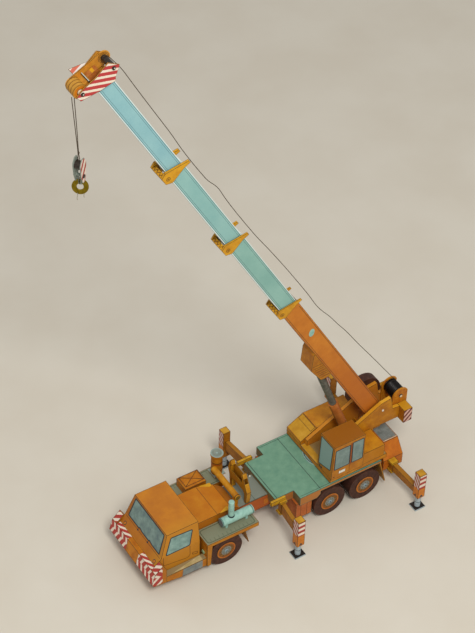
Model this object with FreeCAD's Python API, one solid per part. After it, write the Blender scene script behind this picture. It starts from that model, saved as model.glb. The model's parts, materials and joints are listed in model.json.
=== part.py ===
# Card model of a three-axle truck crane with a telescopic boom, at 1:32.
# Millimetres at the model's own size. +X points to the truck cab, +Y to the driver's side, +Z up.
# Sizes along X are given from the middle axle, and middle_x moves the whole model so that the
# origin lies on the floor under the middle of its box.

import FreeCAD, Part
import math
import os

V = FreeCAD.Vector

# General sizes
middle_x = 68.04
card = 0.8              # thickness of a card wall
fit = 0.05              # running clearance round a pin
gap = 0.3               # clearance between moving card faces
touch = 0.01            # two faces this near count as one

# Wheels
axle_x = {"front": 117.8, "middle": 0.0, "rear": -41.25}
wheel_r = 17.8
wheel_face_y = 40.0
single_w = 10.0
twin_w = 20.0
disc_r, disc_t = 10.0, 0.5
axle_r = 1.5

# Carrier frame and decks
frame_half = 15.0
frame_low = 21.0
frame_top = 36.6
frame_rear = -88.0
bearing_half, bearing_drop, bearing_lap = 5.0, 4.0, 1.0
deck_top = 41.0
deck_half = 38.8
deck_skirt = 10.5
deck_front = 56.0
deck_notch_x = 34.5
deck_notch_in = 11.8
deck_notch_y = deck_half - deck_notch_in
deck_rear = -60.0
deck_plate = 3.0
deck_line_x = 11.0
arch_rise, arch_run = 3.5, 4.0
box_front, box_rear, box_low, box_half = 37.0, 19.0, 8.0, 36.5
box_chamfer = 2.0

# Truck cab
cab_rear = 143.0
cab_floor = 13.0
cab_belt = 40.0
cab_roof = 64.0
cab_half = 33.0
cab_roof_half = 29.3
cab_belt_front = 184.6
cab_roof_front = 176.5
nose_x, nose_z = 190.5, 30.5

# Bumper and steps
bumper_wing = 7.0         # from the cab's side out
bumper_half = cab_half + bumper_wing
bumper_front = 199.0
bumper_low = 14.0
bumper_lip_z = 17.7
bumper_top = 29.8
bumper_top_x = 195.3
bumper_back = 187.0
bumper_tuck = 2.0
wing_back, wing_low, wing_top = 183.0, 12.4, 38.0
step_top, step_low = 20.0, 9.5
step_kink_x = 164.0

# Engine cover
cover_half = 20.0
cover_top = 48.0
cover_fold_x = 115.5
cover_mid_x, cover_mid_z, cover_mid_half = 99.0, 46.0, 16.0
cover_end_x = 88.0

# Fenders
fender_top = 39.0
fender_front, fender_rear = 139.5, 83.0
fender_in, fender_half = 20.3, 41.2
fender_lip = 5.0
flap_top_x, flap_low_x, flap_low_z = 98.0, 92.0, 14.0
panel_rear = 134.0
panel_low = 9.0
panel_slope, panel_rise = 4.0, 1.0
fender_wall = 10.0         # foot of the inner wall above the frame's underside
flap_gap_in, flap_gap_out = 4.0, 2.0

# Storage box, muffler, air filter, intake tube, boom rest
crate = dict(x0=103.0, x1=126.0, y0=-38.0, y1=-21.5, top=50.0)
lid_fold, lid_crown, lid_share = 1.5, 0.5, 0.06
muffler_r, muffler_y, muffler_z = 4.4, 28.8, 46.0
muffler_rear, muffler_front = 83.0, 117.5
stub_x, stub_r, stub_top, stub_bore = 106.3, 2.8, 69.0, 5.0
muffler_foot, muffler_foot_wide = 2.4, 0.7      # along the truck, and across it in drum radii
muffler_foot_shares = (0.22, 0.86)
filter_x, filter_y, filter_r, filter_top = 84.0, -33.0, 5.6, 66.0
filter_cap, filter_lip = 3.0, 0.7
tube_x, tube_z, tube_r, tube_end_y = 89.5, 50.0, 3.1, 14.0
tube_start = 0.6          # of the filter's radius, from its middle
saddle_w = 3.0
rest_x, rest_depth, rest_top = 75.8, 4.8, 70.5
rest_foot, rest_knee, rest_knee_z = 14.0, 15.5, 51.7
rest_arm, rest_far_arm = 6.5, 15.0
rest_post, rest_beam_z, rest_beam_t = 2.8, 50.6, 1.4
rest_rim_front, rest_rim_rear = 59.0, 65.5

# Rear body of the carrier
tail_front, tail_rear = -69.0, -92.0
tail_top, tail_top_half = 41.8, 21.0
tail_mid_z, tail_low, tail_in = 27.0, 14.0, 7.3
tail_mid_half = deck_half - tail_in
guard_top_x, guard_low_x, guard_low_z = -58.0, -66.0, 8.0
guard_top_t, guard_low_t, guard_gap = 1.6, 1.2, 5.0

# Outriggers: hinge, foot, beam and leg of the front and the rear pair
front_hinge_in, rear_hinge_in = 7.3, 2.8        # of the hinges from the deck's edge
outriggers = {
    "front": dict(
        x=50.0, y=deck_half - front_hinge_in, foot_x=54.0, foot_y=66.5,
        top=38.0, deep=12.5, beam=4.4, cap=50.0,
    ),
    "rear": dict(
        x=-78.0, y=deck_half - rear_hinge_in, foot_x=-79.5, foot_y=76.5,
        top=25.0, deep=9.0, beam=5.0, cap=48.0,
    ),
}
hinge_r = 1.2
yoke_half, yoke_reach, yoke_ear = 4.0, 2.6, 2.0
yoke_strip_x, yoke_strip_w = 62.5, 3.0
eye_wall = 1.6
beam_taper = 1.5
leg_w = 8.0
leg_low, leg_wall = 16.0, 1.0
jack_r, jack_stay = 2.9, 16.0       # and how far it stays in the leg
pad_x, pad_y, pad_t = 12.0, 10.5, 1.6

# Slewing ring and upper frame
slew_x = -18.0
ring_r, ring_t = 21.0, 1.2
king_r, king_foot, king_lap = 3.0, 0.5, 1.0
base_low = 42.6
base_top = 47.5
base_front, base_rear = 0.0, -66.0
base_half = 38.0
plate_in, plate_t = 9.8, 4.2
plate_front_x, plate_front_z = -5.0, 54.0
plate_knee_x, plate_knee_z = -73.5, 91.0
plate_tail_x, plate_tail_z = -84.7, 92.9
plate_back_x, plate_back_z = -87.5, 77.0
plate_foot_z = 61.5

# Crane cab and housings
ccab_front, ccab_rear = 0.0, -36.8
ccab_in, ccab_half = 16.0, 39.2
ccab_roof = 91.4
ccab_roof_front = -1.5
lhouse_rear, lhouse_top = -62.5, 62.0
rhouse_front_top, rhouse_bend_x, rhouse_top = 51.5, -18.0, 62.0
rhouse_rear = -66.0

# Winch and counterweight
winch_x, winch_z = -99.2, 85.2
drum_r, flange_r, flange_t = 6.8, 7.6, 0.6
cheek_r, cheek_t, cheek_rear = 9.3, 1.5, -107.2
winch_pin_r, winch_head = 1.4, 0.5
weight_front, weight_rear = -96.0, -105.7
weight_low, weight_top, weight_half = 59.5, 76.0, 22.0

# Spare wheel
spare_x, spare_z, spare_w = -74.0, 81.5, 9.5

# Boom, with its own line: u runs from the pivot to the tip, w stands off it
boom_angle = 60.3
pivot_x, pivot_z, pivot_r = -77.2, 78.2, 2.0
boom_depth, boom_width = 18.2, 16.0
boom_mid_w = -6.3
tube_wall = 0.4
tube_gap = 0.2
base_tail_u, base_block_u = -6.0, 8.0
collar_0_u, collar_1_u, collar_2_u = 221.8, 339.9, 455.8
collar_u = [collar_0_u, collar_1_u, collar_2_u]     # the round mark of each collar
tube_end = 1.0                        # of a tube from its collar's mark
head_reach = 121.2                    # of the last tube from the last collar's mark
head_u = collar_2_u + head_reach
section_ends = [u + tube_end for u in collar_u] + [head_u]
section_lap = 28.0
collar_half = 9.0
collar_back, collar_front = -6.2, 6.9     # from the collar's mark
collar_low, collar_tip_w = -19.7, 6.6
collar_foot, collar_toe, collar_tip = -3.1, 4.5, 2.4
collar_sill, collar_sill_top = 4.8, 1.7

# Boom head
head_half = 9.0
head_plate = 1.0
sheave_reach, roller_reach = 10.3, 9.4      # of the two axes from the last tube's end
sheave_u = head_u + sheave_reach
sheave_w, sheave_r, sheave_half = -23.7, 6.0, 5.6
roller_u = head_u + roller_reach
roller_w, roller_r = 6.1, 2.6
head_pin_r = 1.4
link_y, link_t, link_r = -7.2, 1.0, 5.6
head_lap, head_front, head_nose = 1.6, 3.2, 4.9
head_beak, head_heel = 7.4, 4.2
flap_t, flap_out, flap_top_w, flap_low_w = 0.8, 17.0, -3.0, -19.0

# Luffing cylinder
foot_pin_x, foot_pin_z = -45.0, 52.0
eye_u, eye_w = 108.0, -22.5
cylinder_pin_r = 1.6
barrel_r, barrel_len, rod_r = 4.8, 58.5, 3.6
barrel_start = 4.0
eye_r, eye_half = 2.8, 4.0
rod_tail = 46.0
bore_start = 6.0
bracket_rear_u, bracket_front_u = 102.4, 143.0
bracket_half, bracket_wall = 9.0, 2.0
bracket_room_u = 117.0
bracket_step_w, bracket_low_w, bracket_foot_w, bracket_nose_w = -20.5, -26.5, -28.4, -18.1
bracket_step, bracket_foot, bracket_nose = 3.5, 24.0, 1.7

# Hook
fall_x, fall_y = 3.1, 5.0      # from the sheaves' axis and from the middle plane
fall_r, fall_len = 0.35, 61.0
hook_turn = 30.0
block_plate, block_gap = 0.8, 5.6
block_top, block_low, block_w = 7.2, -15.4, 8.4    # from the roller's axis
block_end, block_shoulder = 1.5, 1.0
block_waist, block_waist_z = 0.6, -6.0
roller_hook_r = 3.4
block_pin_r, block_pin_z = 1.3, -9.5
wire = 0.7
ring_out, ring_in, ring_thick = 6.3, 3.2, 1.4
ring_lap = 0.8


def box(x0, x1, y0, y1, z0, z1):
    return Part.makeBox(x1 - x0, y1 - y0, z1 - z0, V(x0, y0, z0))


def prism(points, direction):
    """Straight prism on a flat outline of 3-D points."""
    wire = Part.makePolygon([V(*p) for p in points + points[:1]])
    return Part.Face(wire).extrude(V(*direction))


def side_prism(outline, y0, y1):
    """Prism across the truck on an outline of (x, z)."""
    return prism([(x, y0, z) for x, z in outline], (0, y1 - y0, 0))


def frustum(low, high):
    """Solid with flat sides between two outlines of (x, y, z) with as many corners."""
    rings = [[V(*p) for p in low], [V(*p) for p in high]]
    faces = [Part.Face(Part.makePolygon(r + r[:1])) for r in rings]
    for i in range(len(low)):
        j = (i + 1) % len(low)
        side = [rings[0][i], rings[0][j], rings[1][j], rings[1][i]]
        faces.append(Part.Face(Part.makePolygon(side + side[:1])))
    shell = Part.makeShell(faces)
    shell.sewShape()
    solid = Part.makeSolid(shell)
    if solid.Volume < 0:
        solid.reverse()
    return solid


def oblong(x0, x1, half, z):
    """Corners of a level rectangle about the middle plane."""
    return [(x0, -half, z), (x1, -half, z), (x1, half, z), (x0, half, z)]


def end_prism(outline, x0, x1):
    """Prism along the truck on an outline of (y, z)."""
    return prism([(x0, y, z) for y, z in outline], (x1 - x0, 0, 0))


def plan_prism(outline, z0, z1):
    """Upright prism on an outline of (x, y)."""
    return prism([(x, y, z0) for x, y in outline], (0, 0, z1 - z0))


def pin_y(x, z, r, y0, y1):
    return Part.makeCylinder(r, y1 - y0, V(x, y0, z), V(0, 1, 0))


def pin_x(y, z, r, x0, x1):
    return Part.makeCylinder(r, x1 - x0, V(x0, y, z), V(1, 0, 0))


def pin_z(x, y, r, z0, z1):
    return Part.makeCylinder(r, z1 - z0, V(x, y, z0), V(0, 0, 1))


def fuse(shapes):
    whole = shapes[0].multiFuse(shapes[1:]) if len(shapes) > 1 else shapes[0]
    return whole.removeSplitter()


def mirror_y(shape):
    return shape.mirror(V(0, 0, 0), V(0, 1, 0))


def both_sides(shape):
    """The shape and its mirror image over the middle plane, as two solids."""
    return Part.makeCompound([shape, mirror_y(shape)])


def on_boom(shape):
    """Lift a shape drawn on the level boom line to the boom's place."""
    lifted = shape.copy()
    lifted.rotate(V(0, 0, 0), V(0, 1, 0), -boom_angle)
    lifted.translate(V(pivot_x, 0, pivot_z))
    return lifted


def boom_point(u, w):
    a = math.radians(boom_angle)
    return (pivot_x + u * math.cos(a) - w * math.sin(a), pivot_z + u * math.sin(a) + w * math.cos(a))


def axle_set(name, width):
    """One axle: its two drums, and the discs on their faces with the shaft between them."""
    x = axle_x[name]
    outer = wheel_face_y - disc_t
    inner = wheel_face_y - width
    drum = pin_y(x, wheel_r, wheel_r, inner, outer)
    disc = pin_y(x, wheel_r, disc_r, outer, wheel_face_y)
    shaft = pin_y(x, wheel_r, axle_r, -inner, inner)
    return both_sides(drum), Part.makeCompound([disc, mirror_y(disc), shaft])


def chassis_frame():
    """Box frame with a bored bearing block under it for each axle."""
    body = side_prism(
        [
            (cab_rear, frame_low),
            (cab_rear, frame_top),
            (frame_rear, frame_top),
            (frame_rear, frame_low),
        ],
        -frame_half,
        frame_half,
    )
    parts = [body]
    for x in axle_x.values():
        x0, x1 = x - bearing_half, x + bearing_half
        parts.append(box(x0, x1, -frame_half, frame_half, wheel_r - bearing_drop, frame_low + bearing_lap))
    frame = fuse(parts)
    for x in axle_x.values():
        frame = frame.cut(pin_y(x, wheel_r, axle_r + fit, -frame_half, frame_half))
    return frame


def truck_cab_block():
    lower = side_prism(
        [
            (cab_rear, cab_floor),
            (cab_rear, cab_belt),
            (cab_belt_front, cab_belt),
            (nose_x, nose_z),
            (bumper_back, nose_z),
            (bumper_back, cab_floor),
        ],
        -cab_half,
        cab_half,
    )
    belt = oblong(cab_rear, cab_belt_front, cab_half, cab_belt)
    roof = oblong(cab_rear, cab_roof_front, cab_roof_half, cab_roof)
    return fuse([lower, frustum(belt, roof)])


def bumper():
    bar = side_prism(
        [
            (bumper_back, bumper_low),
            (bumper_back, nose_z),
            (nose_x, nose_z),
            (bumper_top_x, bumper_top),
            (bumper_front, bumper_lip_z),
            (bumper_front - bumper_tuck, bumper_low),
        ],
        -bumper_half,
        bumper_half,
    )
    wing = side_prism(
        [
            (bumper_front - bumper_tuck, bumper_low),
            (bumper_front, bumper_lip_z),
            (bumper_top_x, bumper_top),
            (bumper_back, wing_top),
            (wing_back, nose_z),
            (wing_back, wing_low),
        ],
        cab_half,
        bumper_half,
    )
    return fuse([bar, wing, mirror_y(wing)]).cut(truck_cab_block())


def side_steps():
    step = side_prism(
        [
            (fender_front, step_top),
            (wing_back, step_top),
            (wing_back, wing_low),
            (step_kink_x, step_low),
            (fender_front, step_low),
        ],
        cab_half,
        bumper_half,
    )
    return both_sides(step)


def engine_cover():
    """Cover behind the cab: a level front, then two folds down to the frame."""
    front = box(cover_fold_x, cab_rear, -cover_half, cover_half, frame_top, cover_top)
    low = [
        (cover_mid_x, -cover_mid_half),
        (cover_fold_x, -cover_half),
        (cover_fold_x, cover_half),
        (cover_mid_x, cover_mid_half),
    ]
    mid_top = {cover_mid_x: cover_mid_z, cover_fold_x: cover_top}
    mid = frustum([(x, y, frame_top) for x, y in low], [(x, y, mid_top[x]) for x, y in low])
    end_outline = [(cover_end_x, frame_top), (cover_mid_x, frame_top), (cover_mid_x, cover_mid_z)]
    end = side_prism(end_outline, -cover_mid_half, cover_mid_half)
    return fuse([front, mid, end])


def fender():
    top = box(fender_rear, fender_front, fender_in, fender_half, fender_top - card, fender_top)
    skirt = side_prism(
        [
            (fender_rear, fender_top),
            (fender_front, fender_top),
            (fender_front, panel_low),
            (fender_front - panel_slope, panel_low),
            (panel_rear, fender_top - fender_lip + panel_rise),
            (fender_rear, fender_top - fender_lip),
        ],
        fender_half - card,
        fender_half,
    )
    front = box(fender_front - card, fender_front, fender_in, fender_half, panel_low, fender_top)
    rear = box(fender_rear, fender_rear + card, fender_in, fender_half, fender_top - fender_lip, fender_top)
    inner = box(fender_rear, fender_front, fender_in, fender_in + card, frame_low + fender_wall, fender_top)
    flap = side_prism(
        [
            (flap_top_x, fender_top - card),
            (flap_top_x + card, fender_top - card),
            (flap_low_x + card, flap_low_z),
            (flap_low_x, flap_low_z),
        ],
        fender_in + flap_gap_in,
        fender_half - flap_gap_out,
    )
    return fuse([top, skirt, front, rear, inner, flap])


def storage_box():
    """Box with a raised, folded lid."""
    c = crate
    seam = c["top"] - lid_fold
    corners = [(c["x0"], c["y0"]), (c["x1"], c["y0"]), (c["x1"], c["y1"]), (c["x0"], c["y1"])]
    mid_x, mid_y = (c["x0"] + c["x1"]) / 2, (c["y0"] + c["y1"]) / 2
    peak = [(mid_x + (x - mid_x) * lid_share, mid_y + (y - mid_y) * lid_share) for x, y in corners]
    lid = frustum([(x, y, seam) for x, y in corners], [(x, y, c["top"] + lid_crown) for x, y in peak])
    return fuse([box(c["x0"], c["x1"], c["y0"], c["y1"], fender_top, seam), lid])


def muffler():
    """Lying drum on two feet, with its upright pipe."""
    parts = [pin_x(muffler_y, muffler_z, muffler_r, muffler_rear, muffler_front)]
    half = muffler_foot / 2
    for share in muffler_foot_shares:
        x = muffler_rear + (muffler_front - muffler_rear) * share
        wide = muffler_r * muffler_foot_wide
        parts.append(box(x - half, x + half, muffler_y - wide, muffler_y + wide, fender_top, muffler_z))
    parts.append(pin_z(stub_x, muffler_y, stub_r, muffler_z, stub_top))
    return fuse(parts).cut(pin_z(stub_x, muffler_y, stub_r - card, stub_top - stub_bore, stub_top))


def air_filter():
    """Canister with a wider cap, on a square foot on the far fender."""
    body = pin_z(filter_x, filter_y, filter_r, fender_top, filter_top - filter_cap)
    cap = pin_z(filter_x, filter_y, filter_r + filter_lip, filter_top - filter_cap, filter_top)
    wide = filter_r + filter_lip
    x0, y0 = filter_x - wide, filter_y - wide
    foot = box(x0, x0 + 2 * wide, y0, y0 + 2 * wide, fender_top, fender_top + card)
    return fuse([body, cap, foot])


def intake_tube():
    """Tube across the truck from the air filter, on a saddle near its free end."""
    tube = pin_y(tube_x, tube_z, tube_r, filter_y + filter_r * tube_start, tube_end_y)
    half = tube_r - card
    y1 = tube_end_y - saddle_w
    saddle = box(tube_x - half, tube_x + half, y1 - saddle_w, y1, frame_top, tube_z)
    return fuse([tube, saddle]).cut(air_filter()).cut(engine_cover())


def boom_rest():
    """Cradle across the frame: two posts, an open channel between them and an arm at each end."""
    outline = [
        (rest_foot, frame_top),
        (rest_knee, rest_knee_z),
        (rest_arm, rest_top),
        (rest_arm - card, rest_top),
        (rest_arm - rest_post, rest_rim_rear),
        (rest_post - rest_far_arm, rest_rim_rear),
        (card - rest_far_arm, rest_top),
        (-rest_far_arm, rest_top),
        (-rest_knee - rest_post, rest_rim_front),
        (-rest_knee, rest_knee_z),
        (-rest_foot, frame_top),
    ]
    cradle = end_prism(outline, rest_x, rest_x + rest_depth)
    inner = rest_foot - rest_post
    arch = [
        (inner, frame_top),
        (inner, rest_beam_z - rest_post),
        (inner - rest_post, rest_beam_z),
        (rest_post - inner, rest_beam_z),
        (-inner, rest_beam_z - rest_post),
        (-inner, frame_top),
    ]
    cradle = cradle.cut(end_prism(arch, rest_x, rest_x + rest_depth))
    floor = rest_beam_z + rest_beam_t
    front = rest_x + rest_depth
    cradle = cradle.cut(box(rest_x + card, front - card, -inner - rest_post, inner, floor, rest_rim_rear))
    return cradle.cut(box(front - card, front, -inner - rest_post, rest_arm, rest_rim_front, rest_rim_rear))


def main_deck():
    """Deck box with a notch at each front corner for the outrigger hinges."""
    outline = [
        (deck_rear, -deck_half),
        (deck_notch_x, -deck_half),
        (deck_notch_x, -deck_notch_y),
        (deck_front, -deck_notch_y),
        (deck_front, deck_notch_y),
        (deck_notch_x, deck_notch_y),
        (deck_notch_x, deck_half),
        (deck_rear, deck_half),
    ]
    plate = plan_prism(outline, deck_top - deck_plate, deck_top)
    low, under = deck_top - deck_skirt, deck_top - deck_plate
    box_outline = [
        (deck_line_x, under),
        (deck_line_x, low + arch_rise),
        (deck_line_x + arch_run, low),
        (deck_notch_x, low),
        (deck_notch_x, under),
    ]
    front_box = side_prism(box_outline, -deck_half, deck_half)
    nose = box(deck_notch_x, deck_front, -deck_notch_y, deck_notch_y, low, under)
    core = box(deck_rear, deck_line_x, -frame_half, frame_half, frame_top, under)
    deck = fuse([plate, front_box, nose, core])
    deck = deck.cut(box(deck_rear, deck_front, -frame_half, frame_half, frame_low, frame_top))
    return deck.cut(pin_z(slew_x, 0, king_r + fit, frame_top, deck_top))


def slewing_ring():
    ring = pin_z(slew_x, 0, ring_r, deck_top, deck_top + ring_t)
    return ring.cut(pin_z(slew_x, 0, king_r + fit, deck_top, deck_top + ring_t))


def side_boxes():
    chest = box(box_rear, box_front, frame_half, box_half, box_low, deck_top - deck_skirt)
    return both_sides(chest.makeChamfer(box_chamfer, [e for e in chest.Edges if is_low_outer(e)]))


def is_low_outer(edge):
    b = edge.BoundBox
    return b.ZMax < box_low + touch and b.YMin > box_half - touch


def mudguards():
    """Slanted guard behind each rear wheel, hung from the deck."""
    guard = side_prism(
        [
            (guard_top_x, deck_top - deck_plate),
            (guard_top_x - guard_top_t, deck_top - deck_plate),
            (guard_low_x - guard_low_t, guard_low_z),
            (guard_low_x, guard_low_z),
        ],
        frame_half + guard_gap,
        deck_half,
    )
    return both_sides(guard)


def tail_body():
    outline = [
        (-tail_top_half, tail_top),
        (tail_top_half, tail_top),
        (tail_mid_half, tail_mid_z),
        (tail_mid_half, tail_low),
        (-tail_mid_half, tail_low),
        (-tail_mid_half, tail_mid_z),
    ]
    tail = end_prism(outline, tail_rear, tail_front)
    tail = tail.cut(box(frame_rear, tail_front, -frame_half, frame_half, frame_low, frame_top))
    return tail


def yokes():
    """Two ears of each outrigger hinge, with the hinge pin between them."""
    solids = []
    for name, o in outriggers.items():
        top, low = o["top"] + gap, o["top"] - o["deep"] - gap
        inner = deck_notch_y if name == "front" else tail_mid_half
        x0, x1 = o["x"] - yoke_half, o["x"] + yoke_half
        outer = o["y"] + yoke_reach
        parts = [box(x0, x1, inner, outer, z0, z0 + yoke_ear) for z0 in (top, low - yoke_ear)]
        parts.append(pin_z(o["x"], o["y"], hinge_r, low - yoke_ear, top + yoke_ear))
        if name == "front":
            strip_y = o["y"] - yoke_strip_w
            parts.append(box(x0, yoke_strip_x, strip_y, strip_y + yoke_strip_w, top, deck_top + yoke_ear))
        yoke = fuse(parts)
        solids += [yoke, mirror_y(yoke)]
    return Part.makeCompound(solids)


def outrigger(o):
    """Beam from the bored hinge end to the square tube of the leg, open below for the jack."""
    top, low = o["top"], o["top"] - o["deep"]
    half = o["beam"] / 2
    wall = hinge_r + eye_wall
    reach = math.hypot(o["foot_x"] - o["x"], o["foot_y"] - o["y"])
    turn = math.degrees(math.atan2(o["foot_y"] - o["y"], o["foot_x"] - o["x"]))
    outline = [(0, top), (reach, top), (reach, low + beam_taper), (0, low)]
    beam = side_prism(outline, -half, half)
    end = box(-wall, wall, -wall, wall, low, top)
    arm = fuse([beam, end])
    arm.rotate(V(0, 0, 0), V(0, 0, 1), turn)
    arm.translate(V(o["x"], o["y"], 0))
    w = leg_w / 2
    x, y = o["foot_x"], o["foot_y"]
    leg = box(x - w, x + w, y - w, y + w, leg_low, o["cap"])
    w -= leg_wall
    room = box(x - w, x + w, y - w, y + w, leg_low, o["cap"] - leg_wall)
    return fuse([arm, leg]).cut(room).cut(pin_z(o["x"], o["y"], hinge_r + fit, low, top))


def jack(o):
    tube = pin_z(o["foot_x"], o["foot_y"], jack_r, pad_t, leg_low + jack_stay)
    x, y = o["foot_x"], o["foot_y"]
    pad = box(x - pad_x / 2, x + pad_x / 2, y - pad_y / 2, y + pad_y / 2, 0, pad_t)
    return fuse([tube, pad])


def upper_base():
    """Base of the upper works, on its king pin."""
    outline = [
        (base_front, -base_half),
        (base_front, base_half),
        (base_rear, base_half),
        (base_rear, -base_half),
    ]
    plate = plan_prism(outline, base_low, base_top)
    pin = pin_z(slew_x, 0, king_r, frame_top + king_foot, base_low + king_lap)
    return fuse([plate, pin])


def crane_cab():
    outline = [
        (ccab_front, base_top),
        (ccab_roof_front, ccab_roof),
        (ccab_rear, ccab_roof),
        (ccab_rear, base_top),
    ]
    return side_prism(outline, ccab_in, ccab_half)


def left_housing():
    return box(lhouse_rear, ccab_rear, plate_in + plate_t, base_half, base_top, lhouse_top)


def right_housing():
    outline = [
        (base_front, base_top),
        (base_front, rhouse_front_top),
        (rhouse_bend_x, rhouse_top),
        (rhouse_rear, rhouse_top),
        (rhouse_rear, base_top),
    ]
    return side_prism(outline, -base_half, -plate_in - plate_t)


def side_plate():
    outline = [
        (plate_front_x, base_top),
        (plate_front_x, plate_front_z),
        (plate_knee_x, plate_knee_z),
        (plate_tail_x, plate_tail_z),
        (plate_back_x, plate_back_z),
        (weight_front, weight_top),
        (weight_front, plate_foot_z),
        (base_rear, plate_foot_z),
        (base_rear, base_top),
    ]
    return side_prism(outline, plate_in, plate_in + plate_t)


def side_frame():
    """The two long plates that carry boom, cylinder and winch, with the pins between them."""
    near = side_plate()
    outer = plate_in + plate_t
    parts = [near, mirror_y(near)]
    parts.append(pin_y(pivot_x, pivot_z, pivot_r, -outer, outer))
    parts.append(pin_y(foot_pin_x, foot_pin_z, cylinder_pin_r, -outer, outer))
    return fuse(parts)


def winch_cheeks():
    """Round-topped plate on each side of the drum, down into the counterweight."""
    inner = plate_in - cheek_t
    disc = pin_y(winch_x, winch_z, cheek_r, inner, plate_in)
    skirt = box(cheek_rear, winch_x + cheek_r, inner, plate_in, plate_foot_z, winch_z)
    trim = box(winch_x - 2 * cheek_r, cheek_rear, inner, plate_in, plate_foot_z, winch_z + cheek_r)
    cheek = fuse([disc, skirt]).cut(trim)
    return both_sides(cheek.cut(pin_y(winch_x, winch_z, winch_pin_r + fit, inner, plate_in)))


def winch_drum():
    """Drum with a rim at its far end, on a shaft with a round head outside each cheek."""
    half = plate_in - cheek_t - gap
    drum = pin_y(winch_x, winch_z, drum_r, -half, half)
    rim = pin_y(winch_x, winch_z, flange_r, -half, flange_t - half)
    shaft_half = plate_in + winch_head
    shaft = pin_y(winch_x, winch_z, winch_pin_r, -shaft_half, shaft_half)
    return fuse([drum, rim, shaft])


def counterweight():
    block = box(weight_rear, weight_front, -weight_half, weight_half, weight_low, weight_top)
    return block.cut(winch_cheeks())


def spare_wheel():
    """Spare wheel, flat against the far side plate."""
    inner = -(plate_in + plate_t)
    outer = inner - spare_w
    tyre = pin_y(spare_x, spare_z, wheel_r, outer + disc_t, inner)
    return tyre, pin_y(spare_x, spare_z, disc_r, outer, outer + disc_t)


def tube_size(i):
    """Outer depth and width of boom tube i."""
    step = 2 * (tube_wall + tube_gap) * i
    return boom_depth - step, boom_width - step


def boom_tube(i, u0, u1):
    """Square card tube, open at its front and closed at its back."""
    depth, width = tube_size(i)
    low = boom_mid_w - depth / 2
    outer = box(u0, u1, -width / 2, width / 2, low, low + depth)
    t = tube_wall
    inner = box(u0 + t, u1, -width / 2 + t, width / 2 - t, low + t, low + depth - t)
    return outer.cut(inner)


def collar(i):
    """Yoke at the front of boom tube i: two pointed plates and a box below the next tube."""
    u = collar_u[i]
    width = tube_size(i)[1]
    sill = collar_low + collar_sill
    plate = side_prism(
        [
            (u + collar_back, sill),
            (u + collar_foot, collar_low),
            (u + collar_toe, collar_low),
            (u + collar_front, sill),
            (u, collar_tip_w),
            (u - collar_tip, collar_tip_w),
            (u - collar_tip, 0),
            (u + collar_back, sill + collar_sill_top),
        ],
        width / 2,
        collar_half,
    )
    low = boom_mid_w - boom_depth / 2
    shoe = box(u + collar_foot, u + collar_toe, -width / 2, width / 2, collar_low, low)
    return fuse([plate, shoe, mirror_y(plate)])


def boom_base():
    tube = boom_tube(0, base_tail_u, section_ends[0])
    half = boom_width / 2
    low = boom_mid_w - boom_depth / 2
    tail = box(base_tail_u, base_block_u, -half, half, low, low + boom_depth)
    whole = fuse([tube, tail])
    return whole.cut(pin_y(0, 0, pivot_r + fit, -half, half))


def cylinder_bracket():
    """Wedge under the base tube, open to the rear and below for the rod's eye."""
    low = boom_mid_w - boom_depth / 2
    outline = [
        (bracket_rear_u, low),
        (bracket_rear_u, bracket_step_w),
        (bracket_rear_u + bracket_step, bracket_low_w),
        (bracket_rear_u + bracket_foot, bracket_foot_w),
        (bracket_front_u - bracket_nose, bracket_nose_w),
        (bracket_front_u, low),
    ]
    whole = side_prism(outline, -bracket_half, bracket_half)
    inner = bracket_half - bracket_wall
    return whole.cut(box(bracket_rear_u, bracket_room_u, -inner, inner, bracket_foot_w, low))


def boom_head():
    """Side plates of the head, the web between them, the link plate, roller, pin and flap."""
    depth, width = tube_size(3)
    low = boom_mid_w - depth / 2
    end = section_ends[3]
    inner = head_half - head_plate
    front_u = sheave_u + head_front
    plate = side_prism(
        [
            (end - head_lap, head_lap),
            (end + head_plate, roller_w - head_front),
            (roller_u - head_pin_r, roller_w + head_nose),
            (roller_u + head_beak, roller_w - head_plate),
            (front_u, (roller_w + sheave_w) / 2),
            (front_u, sheave_w + head_front),
            (sheave_u + head_plate, sheave_w - head_nose),
            (sheave_u - head_heel, sheave_w - head_heel),
            (end + head_plate, low + head_lap),
        ],
        inner,
        head_half,
    )
    corners = [(-head_half, flap_top_w), (-flap_out, flap_low_w), (-head_half, flap_low_w)]
    flap = end_prism(corners, front_u - flap_t, front_u)
    web = box(end, end + head_front, -inner, inner, low, low + depth)
    roller = pin_y(roller_u, roller_w, roller_r, link_y + link_t, inner)
    shaft = pin_y(sheave_u, sheave_w, head_pin_r, -inner, inner)
    link = fuse([
        side_prism(link_corners(), link_y, link_y + link_t),
        pin_y(roller_u, roller_w, link_r, link_y, link_y + link_t),
        pin_y(sheave_u, sheave_w, link_r, link_y, link_y + link_t),
    ])
    return fuse([plate, mirror_y(plate), flap, web, roller, shaft, link])


def link_corners():
    """Straight part of the link plate between its two round ends."""
    return [
        (roller_u - link_r, roller_w),
        (roller_u + link_r, roller_w),
        (sheave_u + link_r, sheave_w),
        (sheave_u - link_r, sheave_w),
    ]


def head_sheaves():
    drum = pin_y(sheave_u, sheave_w, sheave_r, -sheave_half, sheave_half)
    return drum.cut(pin_y(sheave_u, sheave_w, head_pin_r, -sheave_half, sheave_half))


def luff_barrel():
    """Cylinder barrel with its foot eye, drawn along its own axis and turned to it."""
    eye = pin_y(0, 0, eye_r, -eye_half, eye_half)
    neck = box(0, barrel_start, -eye_half, eye_half, -eye_r, eye_r)
    tube = Part.makeCylinder(barrel_r, barrel_len - barrel_start, V(barrel_start, 0, 0), V(1, 0, 0))
    body = fuse([eye, neck, tube])
    body = body.cut(Part.makeCylinder(rod_r + fit, barrel_len, V(bore_start, 0, 0), V(1, 0, 0)))
    return body.cut(pin_y(0, 0, cylinder_pin_r + fit, -barrel_r, barrel_r))


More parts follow.
